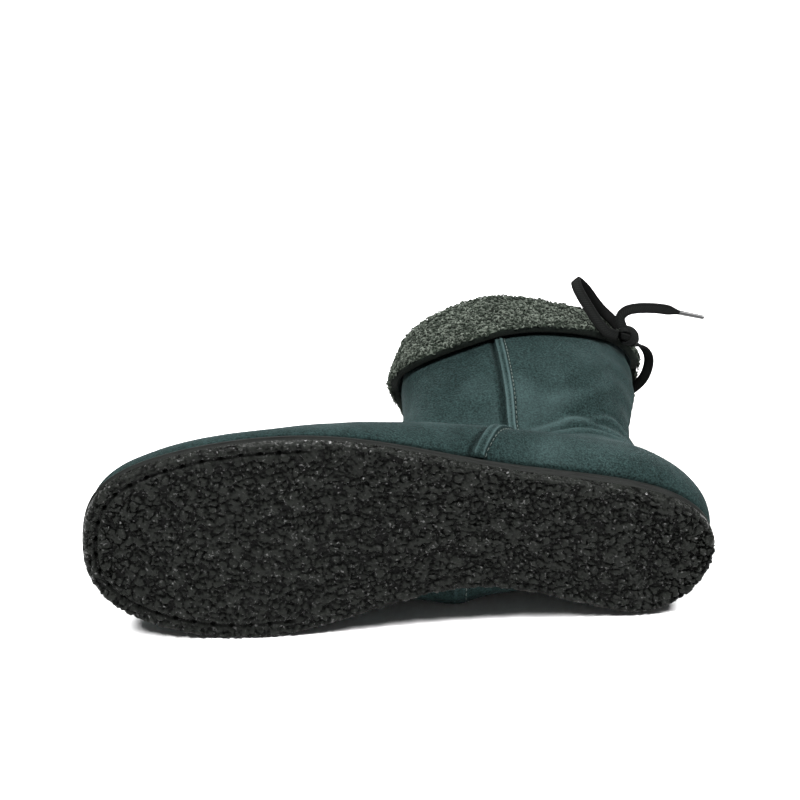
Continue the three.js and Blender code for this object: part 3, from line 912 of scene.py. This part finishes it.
# Soft folds, as places u, w on the side: ridge height, ridge width and the sides that have them
FOLDS = (
    (((62, 67), (58, 69), (46, 72.5), (36, 70), (28, 66)), 1.0, 1.7, "outer"),
    (((70, 69), (66, 71), (55, 76), (50, 78), (40, 76), (28, 72)), 1.05, 2.0, "outer"),
    (((53, 77), (42, 80), (33, 82.5), (28, 81), (24, 77)), 0.8, 1.9, "outer"),
    (((60, 84), (56, 87), (41, 94), (26, 111)), 0.6, 4.0, "outer"),
    (((66, 62), (52, 70), (36, 68), (26, 70)), 1.0, 3.0, "inner"),
    (((90, 74), (74, 80), (58, 84), (40, 82)), 1.0, 3.4, "inner"),
)
FOLD_STEPS = 40
# Slack of the suede: height and size of its waves
SLACK_WAVES = ((0.55, 34), (0.22, 13))
# The inner seam over the arch is drawn out into a low bulge
BULGE_ALONG = 16
BULGE_RISE = 1.5
BULGE_HALF = 9
# Ripples up the back of the shaft
RIPPLE_RISE = 0.35
RIPPLE_PITCH = 15
RIPPLE_BEHIND = (34, 20)
RIPPLE_ABOVE = (66, 76)
BACK_SEAM_HALF = 0.035
BACK_SEAM_DEPTH = 0.5
JOINT_LEVEL = 0.28
JOINT_DEPTH = 0.6
FREE_LEVEL = 0.8
# The wall's inner face is painted a little darker, as painted shade inside the boot
INSIDE_SHADE = 0.4


def side_columns(levels):
    """Ring places of the outer side's columns, close together along the seam, and their distance to it."""
    seam = seam_place(levels)
    step = np.full(len(levels), SLOPE_STEP)
    across = upper_points(seam + step, levels) - upper_points(seam - step, levels)
    per_mm = 2 * SLOPE_STEP / np.linalg.norm(across, axis=1)
    zone = SEAM_ZONE * per_mm
    stretches = (
        (np.zeros(len(levels)), seam - zone, BACK_COLUMNS, False),
        (seam - zone, seam + zone, SEAM_COLUMNS, False),
        (seam + zone, np.full(len(levels), float(FRONT_PLACE)), FRONT_COLUMNS, True),
    )
    parts = []
    for start, end, count, closed in stretches:
        share = np.linspace(0, 1, count, endpoint=closed)
        parts.append(mix(start[:, None], end[:, None], share))
    places = np.concatenate(parts, 1)
    return places, (places - seam[:, None]) / per_mm[:, None]


def ring_columns(levels):
    """Ring places, levels and distances to the seam of a grid all round the upper."""
    places, distance = side_columns(levels)
    places = np.concatenate([places, RING_COUNT - places[:, -2:0:-1]], 1)
    distance = np.concatenate([distance, distance[:, -2:0:-1]], 1)
    return places, np.broadcast_to(levels[:, None], places.shape), distance


def foot_to_shaft(foot, shaft, levels):
    return mix(foot, shaft, smooth(ANKLE_FROM, ANKLE_TO, levels))


def seam_relief(distance, levels):
    """Height and painted light of the raised seam at a distance from its line, positive towards the toe."""
    half = foot_to_shaft(SEAM_HALF_FOOT, SEAM_HALF_SHAFT, levels)
    fade = 1 - smooth(SEAM_FADE_FROM, SEAM_FADE_TO, levels)
    toe_side = smooth(half + 0.6, half - 0.1, distance)
    heel_side = smooth(-half - 1.0, -half + 0.1, distance)
    ridge = toe_side * heel_side
    middle = bell(distance + 0.2, 0.45)
    trough = bell(distance - half - 1.5, 1.2)
    stitched = bell(distance + half + STITCH_LINE, 0.6)
    height = fade * (SEAM_HEIGHT * ridge - 0.2 * middle - 0.8 * trough - 0.3 * stitched)
    # Painted light: pale fuzzy edges and ridge as painted highlight; the middle groove, the trough beside the
    # ridge and the stitch line darkened as painted shade
    edges = bell(np.abs(distance) - half + 0.3, 0.45)
    painted_light = fade * (0.2 * edges + 0.08 * ridge - 0.16 * middle - 0.75 * trough - 0.2 * stitched)
    return height, painted_light


def fold_relief(points):
    """Height of the soft folds: a ridge between two troughs along each fold's line."""
    height = np.zeros(len(points))
    for line, rise, width, sides in FOLDS:
        path = spline_through(line, FOLD_STEPS)
        apart = np.linalg.norm(points[:, None, ::2] - path[None], axis=2)
        nearest = apart.argmin(1)
        away = apart.min(1) / width
        ends = np.sin(np.pi * (nearest + 0.5) / FOLD_STEPS) ** 0.6
        fold = rise * (1 - away**2) * np.exp(-(away**2) / 2) * ends
        outward = points[:, 1] if sides == "outer" else -points[:, 1]
        height += fold * smooth(-4, 4, outward)
    return height


def upper_relief(points, places, levels, distance):
    """Height of seams, folds and slack over the upper's plain face, and the suede's painted light there."""
    seam, seam_painted_light = seam_relief(distance, levels)
    hang = over_arch(points, places, BULGE_ALONG)
    seam = mix(seam, BULGE_RISE * bell(distance, BULGE_HALF), hang)
    seam_painted_light = seam_painted_light * (1 - hang)
    folds = fold_relief(points)
    slack = sum(rise * noise_at(points, size) for rise, size in SLACK_WAVES)
    ripple = RIPPLE_RISE * np.sin(points[:, 2] / RIPPLE_PITCH * 2 * np.pi + 1.0)
    ripple *= smooth(*RIPPLE_BEHIND, points[:, 0]) * smooth(*RIPPLE_ABOVE, points[:, 2])
    back_seam = bell(np.minimum(places, RING_COUNT - places), BACK_SEAM_HALF)
    free = smooth(0, FREE_LEVEL, levels)
    joint = smooth(JOINT_LEVEL, 0.0, levels)
    height = seam + free * (folds + slack + ripple) - BACK_SEAM_DEPTH * back_seam * free - JOINT_DEPTH * joint
    # Painted light: the seam's, paler on fold ridges and slack rises and darker in fold troughs, with painted
    # shade along the joint with the sole and in the back seam's groove
    painted_light = 0.5 + 0.5 * seam_painted_light + 0.06 * folds + 0.12 * slack - 0.42 * joint - 0.25 * back_seam
    return height, np.clip(painted_light, 0, 1)


def above_sole(points):
    points[:, 2] = np.maximum(points[:, 2], sole_top(points[:, 0]) + GAP)
    return points


def upper_inside():
    """The inner face of the upper's wall, in rows from the rim down."""
    places, levels, _ = ring_columns(np.linspace(TOP_LEVEL, 0, INNER_ROWS))
    return above_sole(over_upper(places, levels, np.full(places.size, -WALL)).reshape(-1, 3))


def make_upper():
    row_levels = np.linspace(0, TOP_LEVEL, OUTER_ROWS)
    places, levels, distance = ring_columns(row_levels)
    plain = over_upper(places, levels, np.zeros(places.size))
    normals = grid_normals(plain, False, True).reshape(-1, 3)
    points = plain.reshape(-1, 3)
    height, painted_light = upper_relief(points, places.ravel(), levels.ravel(), distance.ravel())
    points = above_sole(points + normals * height[:, None])
    inside = upper_inside()
    skin = np.concatenate([points, inside])
    faces = grid_faces(OUTER_ROWS + INNER_ROWS, places.shape[1], True, True)
    values = {"painted_light": np.concatenate([painted_light, np.full(len(inside), INSIDE_SHADE)])}
    add_piece("suede_upper", skin, faces, [SUEDE], ["upper"], values=values)
    return points.reshape(plain.shape), distance, row_levels


# Threads
THREAD_RINGS = 5
THREAD_SIDES = 6


def thread_tubes(starts, ends, normals, thick, rise):
    """Short round threads that arch out of a surface from each start to its end."""
    t = np.linspace(0, 1, THREAD_RINGS)
    along = ends - starts
    arch = np.sin(np.pi * t) * rise
    centres = starts[:, None] + along[:, None] * t[:, None] + normals[:, None] * arch[:, None]
    side = unit(np.cross(along, normals))
    angle = angles_round(THREAD_SIDES)
    section = side[:, None] * np.cos(angle)[:, None] + normals[:, None] * np.sin(angle)[:, None]
    size = thick / 2 * np.sqrt(np.sin(np.pi * (0.06 + 0.88 * t)))
    return joined_tubes(centres[:, :, None] + section[:, None] * size[:, None, None])


def joined_tubes(points):
    """Points and faces of many tubes, from an array of tubes, rings and sides."""
    count, rings, sides, _ = points.shape
    one = grid_faces(rings, sides, False, True)
    faces = (one[None] + (np.arange(count) * rings * sides)[:, None, None]).reshape(-1, 4)
    return points.reshape(-1, 3), faces


STITCH_PITCH_SHAFT = 2.4
STITCH_PITCH_FOOT = 3.4
STITCH_SHARE = 0.68
STITCH_THICK = 0.5
STITCH_RISE = 0.28
STITCH_START = 1.5


def seam_line(grid, distance, levels, mirrored):
    """The line beside the seam that its stitches follow, read from the upper's own grid."""
    columns = distance.shape[1]
    half = foot_to_shaft(SEAM_HALF_FOOT, SEAM_HALF_SHAFT, levels)
    line = []
    for row in range(len(levels)):
        wanted = -half[row] - STITCH_LINE
        side = slice(columns // 2 + 1, columns) if mirrored else slice(0, columns // 2 + 1)
        places = distance[row, side]
        order = np.argsort(places)
        line.append([np.interp(wanted, places[order], grid[row, side][order, k]) for k in range(3)])
    return np.array(line)


def make_stitches(grid, distance, levels):
    """One row of stitches beside each side seam, longer on the foot than up the shaft."""
    starts, ends, normals = [], [], []
    for mirrored in (False, True):
        line = seam_line(grid, distance, levels, mirrored)
        run = run_along(line)
        place = STITCH_START
        while place < run[-1]:
            level = np.interp(place, run, levels)
            if level > SEAM_FADE_TO:
                break
            pitch = foot_to_shaft(STITCH_PITCH_FOOT, STITCH_PITCH_SHAFT, level)
            starts.append(on_line(line, run, place))
            ends.append(on_line(line, run, place + pitch * STITCH_SHARE))
            normals.append((0, -1.0 if mirrored else 1.0, 0))
            place += pitch
    starts, ends, normals = np.array(starts), np.array(ends), np.array(normals)
    along = unit(ends - starts)
    normals = unit(normals - along * np.sum(normals * along, 1, keepdims=True))
    points, faces = thread_tubes(starts, ends, normals, STITCH_THICK, STITCH_RISE)
    add_piece("seam_stitches", points, faces, [SEAM_THREAD])


make_stitches(*make_upper())

# Sole
SOLE_RUNGS = 540
SOLE_ACROSS = 150
EDGE_ROWS = 5
EDGE_CALM = 0.45
WALL_ROWS = 6
CREPE_RELIEF = 1.85
LUMP_SIZE = 3.3
CRACK_WIDTH = 0.42
# How far the lumps' outlines are bent, and over what distance
LUMP_BENDS = ((1.5, 2.8), (0.5, 1.3))
CRACK_CHANGE = 4.6
ROLL_SIZE = 2.1
SWELL_SIZE = 9.0
# Shifts that keep one noise apart from the next
CRACK_SHIFT = 40
ROLL_SHIFT = 23
FAR_OFF = 99.0
CHANNEL_STEPS = 900
CHANNEL_TURN = 0.6
CHANNEL_FROM = 3.0
CHANNEL_TO = 7.05
CHANNEL_INSET_OUTER = 4.0
CHANNEL_INSET_FRONT = 5.0
CHANNEL_INSET_INNER = 6.3
CHANNEL_HALF = 0.95
CHANNEL_CLEAR = 1.6
CHANNEL_DEPTH = 1.5
CHANNEL_HEIGHT = 0.8
CHANNEL_ROOM = 5.0
STITCH_HOLE_PITCH = 7.9
STITCH_HOLE_HALF = 0.85
STITCH_HOLE_DEPTH = 1.6


def edge_profile():
    """From the tread's edge up the wall: inset from the outline, rise and share of the wall's height."""
    angle = np.linspace(0, np.pi / 2, EDGE_ROWS)
    rounded = [(CREPE_ROUND * (1 - math.sin(a)), CREPE_ROUND * (1 - math.cos(a)), 0.0) for a in angle]
    walls = [(0.0, CREPE_ROUND, s) for s in np.linspace(0, 1, WALL_ROWS + 1)[1:]]
    return rounded + walls


def outsole_side(places):
    """Rows of the sole's rounded edge and wall along one side."""
    rows = []
    for inset, rise, share in edge_profile():
        uv = outline_at(places, inset)
        low = tread_height(uv[:, 0]) + rise
        rows.append(np.column_stack([uv, mix(low, crepe_top(uv[:, 0]), share)]))
    return np.array(rows)


def outsole_grid():
    """The sole without its lumps, in rows from the inner wall over the tread to the outer wall."""
    places = np.linspace(0, FRONT_PLACE, SOLE_RUNGS)
    outer = outsole_side(places)
    inner = outsole_side(RING_COUNT - places)
    share = np.linspace(0, 1, SOLE_ACROSS + 2)[1:-1, None, None]
    tread = mix(inner[0][None], outer[0][None], share)
    tread[..., 2] = tread_height(tread[..., 0])
    return np.concatenate([inner[::-1], tread, outer])


def calm_edges(shape):
    """How much of the lumps' depth is left: all of it on the tread, less round the edge and up the wall."""
    calm = np.ones(shape)
    fade = EDGE_CALM * np.linspace(1, 0, WALL_ROWS + 1)[1:] ** 0.5
    edge = np.concatenate([np.linspace(1, EDGE_CALM, EDGE_ROWS), fade])
    calm[:len(edge)] = edge[::-1, None]
    calm[-len(edge):] = edge[:, None]
    return calm


def crepe_height(points):
    """Crinkled lumps, from 0 in the winding cracks between them to 1 on top."""
    bent = points + sum(reach * noise_vectors(points, size) for reach, size in LUMP_BENDS)
    cells = [noise.voronoi(Vector(place))[0] for place in bent / LUMP_SIZE]
    near, next_near = np.array(cells)[:, :2].T
    width = CRACK_WIDTH * np.clip(0.62 + 1.3 * noise_at(points + CRACK_SHIFT, CRACK_CHANGE), 0.04, 1)
    lumps = smooth(0.0, width, next_near - near)
    rolls = 0.82 + 0.5 * noise_at(bent + ROLL_SHIFT, ROLL_SIZE) + 0.12 * noise_at(points, SWELL_SIZE)
    return np.clip(lumps * rolls, 0, 1)


def channel_curve():
    places = np.linspace(CHANNEL_FROM, CHANNEL_TO, CHANNEL_STEPS)
    outer = smooth(FRONT_PLACE, CHANNEL_FROM + CHANNEL_TURN, places)
    inner = smooth(FRONT_PLACE, CHANNEL_TO - CHANNEL_TURN, places)
    inset = mix(CHANNEL_INSET_FRONT, CHANNEL_INSET_OUTER, outer)
    inset += (CHANNEL_INSET_INNER - CHANNEL_INSET_FRONT) * inner
    return outline_at(places, inset)


def evenly(curve, pitch):
    run = run_along(curve)
    return on_line(curve, run, np.arange(pitch / 2, run[-1], pitch))


def distance_to(targets, points, wanted):
    """Distance in u and v from each wanted point to the nearest target. The other points are far off."""
    tree = KDTree(len(targets))
    for i, target in enumerate(targets):
        tree.insert((*target, 0), i)
    tree.balance()
    distance = np.full(len(points), FAR_OFF)
    distance[wanted] = [tree.find((*point, 0))[2] for point in points[wanted, :2]]
    return distance


def make_outsole():
    grid = outsole_grid()
    shape = grid.shape[:2]
    normals = grid_normals(grid, False, False).reshape(-1, 3)
    points = grid.reshape(-1, 3)
    curve = channel_curve()
    under = np.zeros(shape, bool)
    under[WALL_ROWS:-WALL_ROWS] = True
    close = under.ravel() & (points[:, 0] > curve[:, 0].min() - CHANNEL_ROOM)
    along = distance_to(curve, points, close)
    groove = bell(along, CHANNEL_HALF)
    hole = bell(distance_to(evenly(curve, STITCH_HOLE_PITCH), points, close), STITCH_HOLE_HALF)
    height = mix(crepe_height(points), CHANNEL_HEIGHT, bell(along, CHANNEL_CLEAR))
    lumps = CREPE_RELIEF * (1 - height) * calm_edges(shape).ravel()
    points = points - normals * (lumps + CHANNEL_DEPTH * groove + STITCH_HOLE_DEPTH * hole)[:, None]
    # Painted shade: the height value falls to dark in the cracks, the stitch channel and its holes
    tone = np.clip(height * (1 - 0.85 * groove) * (1 - hole), 0, 1)
    faces = grid_faces(*shape, True, False)
    add_piece("crepe_outsole", points, faces, [CREPE], ["outsole"], values={"height": tone})


make_outsole()

MIDSOLE_COLUMNS = 480
# The midsole's edge from the bottom up: share of its height and inset
MIDSOLE_EDGE = (
    (0.0, 1.2),
    (0.03, 0.8),
    (0.40, 0.75),
    (0.45, 0.4),
    (0.49, 0.1),
    (0.55, 0.0),
    (0.61, 0.1),
    (0.65, 0.4),
    (0.70, 0.8),
    (0.94, 0.95),
    (1.0, 1.5),
)


def closed_slab(name, rows, columns, material, node, values=None):
    """A slab with the sole's outline, from rows of inset and a height function, closed by rungs."""
    places = np.arange(columns) / columns * RING_COUNT
    rings = []
    for inset, height in rows:
        uv = outline_at(places, inset)
        rings.append(np.column_stack([uv, height(uv[:, 0])]))
    grid = np.array(rings)
    faces = grid_faces(len(rows), columns, False, True).tolist()
    faces += rung_faces(0, columns, False)
    faces += rung_faces((len(rows) - 1) * columns, columns, True)
    return add_piece(name, grid, faces, [material], [node], values=values)


def rung_faces(first, count, faces_up):
    """Quads that close a ring by rungs from its outer to its inner side."""
    faces = []
    for i in range(count // 2):
        corners = [first + i, first + i + 1, first + count - i - 1, first + (count - i) % count]
        corners = list(dict.fromkeys(corners))
        faces.append(corners[::-1] if faces_up else corners)
    return faces


def make_midsole():
    def height_at(share):
        return lambda u: mix(crepe_top(u) + GAP, sole_top(u), share)

    rows = [(inset, height_at(share)) for share, inset in MIDSOLE_EDGE]
    closed_slab("rubber_midsole", rows, MIDSOLE_COLUMNS, MIDSOLE, "midsole")


make_midsole()

INSOLE_COLUMNS = 320
INSOLE_TONE = 0.5
INSOLE_DOMES = ((0.0, 0.0), (0.0, 0.7), (0.35, 0.9), (0.9, 1.0), (4.0, 1.05), (9.0, 1.08))


def make_insole():
    def height_at(share):
        return lambda u: sole_top(u) + GAP + INSOLE_THICK * share

    rows = [(INSOLE_INSET + inset, height_at(share)) for inset, share in INSOLE_DOMES]
    values = {"tone": np.full((len(rows), INSOLE_COLUMNS), INSOLE_TONE)}
    piece = closed_slab("felt_insole", rows, INSOLE_COLUMNS, FLEECE, "insole", values)


make_insole()

# Cuff, its pile and the lining
CURL_RINGS = 6
CURL_SIDES = 4
CURL_THICK = 0.72
# Each curl draws its turn in radians, radius, lift, thickness share and tone from these ranges
CURL_TURN = (2.0, 4.6)
CURL_RADIUS = (0.5, 1.05)
CURL_LIFT = (0.25, 0.95)
CURL_SHARE = (0.75, 1.2)
CURL_TONE = (0.25, 0.8)
CURL_BASE = 0.15
STRAND_BEND = 0.9
STRAND_BEND_SIZE = 3.0
STRAND_SIZE = 1.7
STRAND_HALF = 0.42
CLUMP_SIZE = 5.5


def cuff_edge_height(places):
    """The height of the cuff's lower edge, which rises to the top of the gap at the back."""
    from_back = np.minimum(places, RING_COUNT - places)
    edge = spline_weights(places, RING_COUNT, True) @ np.array(CUFF_EDGE, float)
    corner = np.where(places < FRONT_PLACE, NOTCH_HALF, RING_COUNT - NOTCH_HALF)
    corner_edge = spline_weights(corner, RING_COUNT, True) @ np.array(CUFF_EDGE, float)
    gap = mix(NOTCH_TOP, corner_edge, from_back / NOTCH_HALF)
    return np.where(from_back >= NOTCH_HALF, edge, gap)


def column_place(columns, seam):
    """The place of a column on a level, with the stretches beside the seam squeezed or drawn out."""
    mirrored = columns > FRONT_PLACE
    place = np.where(mirrored, RING_COUNT - columns, columns)
    share = (place - SEAM_PLACE) / (FRONT_PLACE - SEAM_PLACE)
    moved = np.where(place <= SEAM_PLACE, place / SEAM_PLACE * seam, mix(seam, FRONT_PLACE, share))
    return np.where(mirrored, RING_COUNT - moved, moved)


def cuff_rows():
    """The section's rows, divided into steps: share, out, rise, and the kind of face above each row."""
    rows, kinds = [], []
    following = np.roll(CUFF_SECTION, -1, 0)
    for start, end, steps, kind in zip(CUFF_SECTION, following, CUFF_STEPS, CUFF_FACES):
        for step in range(steps):
            rows.append(mix(start, end, step / steps))
            kinds.append(kind)
    rows = np.array(rows)
    for _ in range(2):
        rows = 0.5 * rows + 0.25 * (np.roll(rows, 1, 0) + np.roll(rows, -1, 0))
    return rows, np.array(kinds)


def pile_relief(points):
    """Winding strands of pile, from 0 between them to 1 on top."""
    bent = points + STRAND_BEND * noise_vectors(points, STRAND_BEND_SIZE)
    strands = 1 - np.clip(np.abs(noise_at(bent, STRAND_SIZE)) / STRAND_HALF, 0, 1)
    clumps = 0.5 + 0.5 * noise_at(points, CLUMP_SIZE)
    return np.clip(0.7 * strands + 0.45 * clumps - 0.1, 0, 1)


def pile_sheet(grid, normals, soft, deep, pale):
    """Points, tones and faces of a closed grid with pile on the rows that are soft. The tones are painted
    shade between the strands and pale on their tops.
    """
    flat = grid.reshape(-1, 3)
    relief = pile_relief(flat)
    depth = np.repeat(soft, grid.shape[1]) * deep * (relief - 1.0)
    points = flat + normals.reshape(-1, 3) * depth[:, None]
    # Painted light: dark between the strands as painted shade, paler on their tops
    tone = np.clip(0.1 + pale * relief, 0, 1)
    return points, tone, grid_faces(*grid.shape[:2], True, True)


def curl_tubes(bases, normals, rng):
    """Small bent tufts that lie on a face, with their tones: their own random tone, painted darker at their
    feet and paler where they rise.
    """
    count = len(bases)
    side = unit(np.cross(normals, rng.normal(size=(count, 3))))
    other = np.cross(normals, side)
    t = np.linspace(0, 1, CURL_RINGS)
    turn = rng.uniform(*CURL_TURN, (count, 1)) * rng.choice((-1, 1), (count, 1))
    angle = turn * t
    radius = rng.uniform(*CURL_RADIUS, (count, 1))
    lift = CURL_BASE + rng.uniform(*CURL_LIFT, (count, 1)) * np.sin(np.pi * t)
    flat = side[:, None] * (radius * np.cos(angle))[..., None]
    flat += other[:, None] * (radius * np.sin(angle))[..., None]
    centres = bases[:, None] + flat + normals[:, None] * lift[..., None]
    along = unit(np.gradient(centres, axis=1))
    first = unit(np.cross(along, normals[:, None] + 1e-6))
    second = np.cross(first, along)
    ring = angles_round(CURL_SIDES)
    section = first[:, :, None] * np.cos(ring)[:, None] + second[:, :, None] * np.sin(ring)[:, None]
    taper = np.sin(np.pi * (0.08 + 0.84 * t)) ** 0.7
    size = CURL_THICK / 2 * rng.uniform(*CURL_SHARE, (count, 1)) * taper
    points, faces = joined_tubes(centres[:, :, None] + section * size[..., None, None])
    base_tone = rng.uniform(*CURL_TONE, (count, 1))
    # Painted light: each curl is paler where it rises off the face and darker at its feet
    tone = np.clip(base_tone + 0.35 * (lift - 0.5), 0, 1)
    return points, faces, np.repeat(tone.ravel(), CURL_SIDES)


def scatter(grid, normals, keep, count, rng):
    """Even random spots on the kept quads of a grid, with the face's normals there."""
    corner = grid[:-1, :]
    up = grid[1:, :] - corner
    across = np.roll(grid, -1, 1)[:-1] - corner
    area = np.linalg.norm(np.cross(up, across), axis=2) * keep[:-1, None]
    picked = rng.choice(area.size, count, p=area.ravel() / area.sum())
    a, b = rng.random((2, count, 1))
    spots = corner.reshape(-1, 3)[picked] + a * up.reshape(-1, 3)[picked] + b * across.reshape(-1, 3)[picked]
    return spots, normals[:-1].reshape(-1, 3)[picked]


HOLE_SIDES = 24
# How far the cutter reaches in and out from the upper's face
HOLE_REACH = (-0.8, 12.0)


def cut_lace_holes(piece):
    """Cuts the two round holes that the lace runs through."""
    points, faces = [], []
    angle = angles_round(HOLE_SIDES)
    for from_back in (OUTER_HOLE, INNER_HOLE):
        inner, outer = place_over([from_back] * 2, [HOLE_HEIGHT] * 2, HOLE_REACH)
        axis = unit(outer - inner)
        side = unit(np.cross(axis, (0, 0, 1.0)))
        disc = HOLE_RADIUS * (np.outer(np.cos(angle), side) + np.outer(np.sin(angle), np.cross(axis, side)))
        faces += [[len(points) + corner for corner in face] for face in tube_faces(2, HOLE_SIDES)]
        points += [*(inner + disc), *(outer + disc)]
    mesh = bpy.data.meshes.new("hole_cutter")
    mesh.from_pydata(to_row(points).tolist(), [], faces)
    cutter = bpy.data.objects.new("hole_cutter", mesh)
    bpy.context.scene.collection.objects.link(cutter)
    change = piece.modifiers.new("holes", "BOOLEAN")
    change.operation = "DIFFERENCE"
    change.solver = "EXACT"
    change.object = cutter
    evaluated = piece.evaluated_get(bpy.context.evaluated_depsgraph_get())
    cut = bpy.data.meshes.new_from_object(evaluated)
    piece.modifiers.clear()
    piece.data = cut
    bpy.data.objects.remove(cutter)


PILE_CURLS = 4700
RIM_CURLS = 2600
LINING_CURLS = 2000
HOLE_CLEAR = 2.4
PILE_OUT = 6.0
SEAM_STEPS = 60


def clear_of_holes(spots):
    centres = place_over([OUTER_HOLE, INNER_HOLE], [HOLE_HEIGHT] * 2, [PILE_OUT] * 2)
    apart = np.linalg.norm(spots[:, None] - centres[None], axis=2).min(1)
    return apart > HOLE_CLEAR


def add_curls(name, grid, normals, keep, count, rng):
    spots, ups = scatter(grid, normals, keep, count, rng)
    clear = clear_of_holes(spots)
    points, faces, tone = curl_tubes(spots[clear], ups[clear], rng)
    add_piece(name, points, faces, [FLEECE], values={"tone": tone})


def make_cuff(rng):
    rows, kinds = cuff_rows()
    columns = np.arange(CUFF_COLUMNS) / CUFF_COLUMNS * RING_COUNT
    edge = level_at(columns, cuff_edge_height(columns))
    levels = mix(edge[None], TOP_LEVEL, rows[:, :1])
    seam_levels = np.linspace(edge.min(), TOP_LEVEL, SEAM_STEPS)
    seam = np.interp(levels, seam_levels, seam_place(seam_levels))
    places = column_place(np.broadcast_to(columns, levels.shape), seam)
    out = np.broadcast_to(rows[:, 1:2], levels.shape)
    grid = over_upper(places, levels, out.ravel())
    grid[..., 2] += rows[:, 2:3]
    normals = grid_normals(grid, True, True)
    piled = np.array([k == "pile" for k in kinds], float)
    soft = np.convolve(np.pad(piled, 2, mode="wrap"), np.ones(5) / 5, "valid")
    points, tone, faces = pile_sheet(grid, normals, soft, PILE_DEPTH, PILE_TONE)
    index = {"pile": 0, "hide": 1, "edge": 2}
    face_materials = np.repeat([index[k] for k in kinds], CUFF_COLUMNS)
    materials = [FLEECE, HIDE, CUT_EDGE]
    values = {"tone": tone}
    cuff = add_piece("fleece_cuff", points, faces, materials, ["cuff"], face_materials, values)
    cut_lace_holes(cuff)
    surface = points.reshape(grid.shape)
    hanging = piled * (np.arange(len(rows)) < sum(CUFF_STEPS[:3]))
    add_curls("cuff_pile", surface, normals, hanging, PILE_CURLS, rng)
    rolled = piled - hanging
    add_curls("rim_pile", surface, normals, rolled, RIM_CURLS, rng)


LINING_THICK = 2.4
LINING_DEPTH = 0.9
# How much paler the lining's pile tops are than the painted shade between its strands
LINING_TONE = 0.7
LINING_SHOWN = 0.55
# The lining's top: share of the way from the cuff's edge to the rim, and how far below that in levels
LINING_TOP = 0.8
LINING_BELOW = 0.08
LINING_FROM = 0.62
LINING_ROWS = 90
LINING_BACK_ROWS = 14
LINING_COLUMNS = 300


def make_lining(rng):
    """The fleece inside the shaft and foot, from the footbed up to the rolled rim."""
    columns = np.arange(LINING_COLUMNS) / LINING_COLUMNS * RING_COUNT
    edge = level_at(columns, cuff_edge_height(columns))
    top = mix(edge, TOP_LEVEL, LINING_TOP) - LINING_BELOW
    share = np.concatenate([np.linspace(1, 0, LINING_ROWS), np.linspace(0, 1, LINING_BACK_ROWS)])
    levels = mix(LINING_FROM, top[None], share[:, None])
    inside = np.arange(len(share)) < LINING_ROWS
    out = np.where(inside, -WALL - GAP - LINING_THICK, -WALL - GAP)
    places = np.broadcast_to(columns, levels.shape)
    grid = over_upper(places, levels, np.repeat(out, LINING_COLUMNS))
    normals = grid_normals(grid, True, True)
    points, tone, faces = pile_sheet(grid, normals, inside, LINING_DEPTH, LINING_TONE)
    add_piece("fleece_lining", points, faces, [FLEECE], values={"tone": tone})
    shown = inside * (share > LINING_SHOWN)
    add_curls("lining_pile", points.reshape(grid.shape), normals, shown.astype(float), LINING_CURLS, rng)


draws = np.random.default_rng(SEED)
make_cuff(draws)
make_lining(draws)
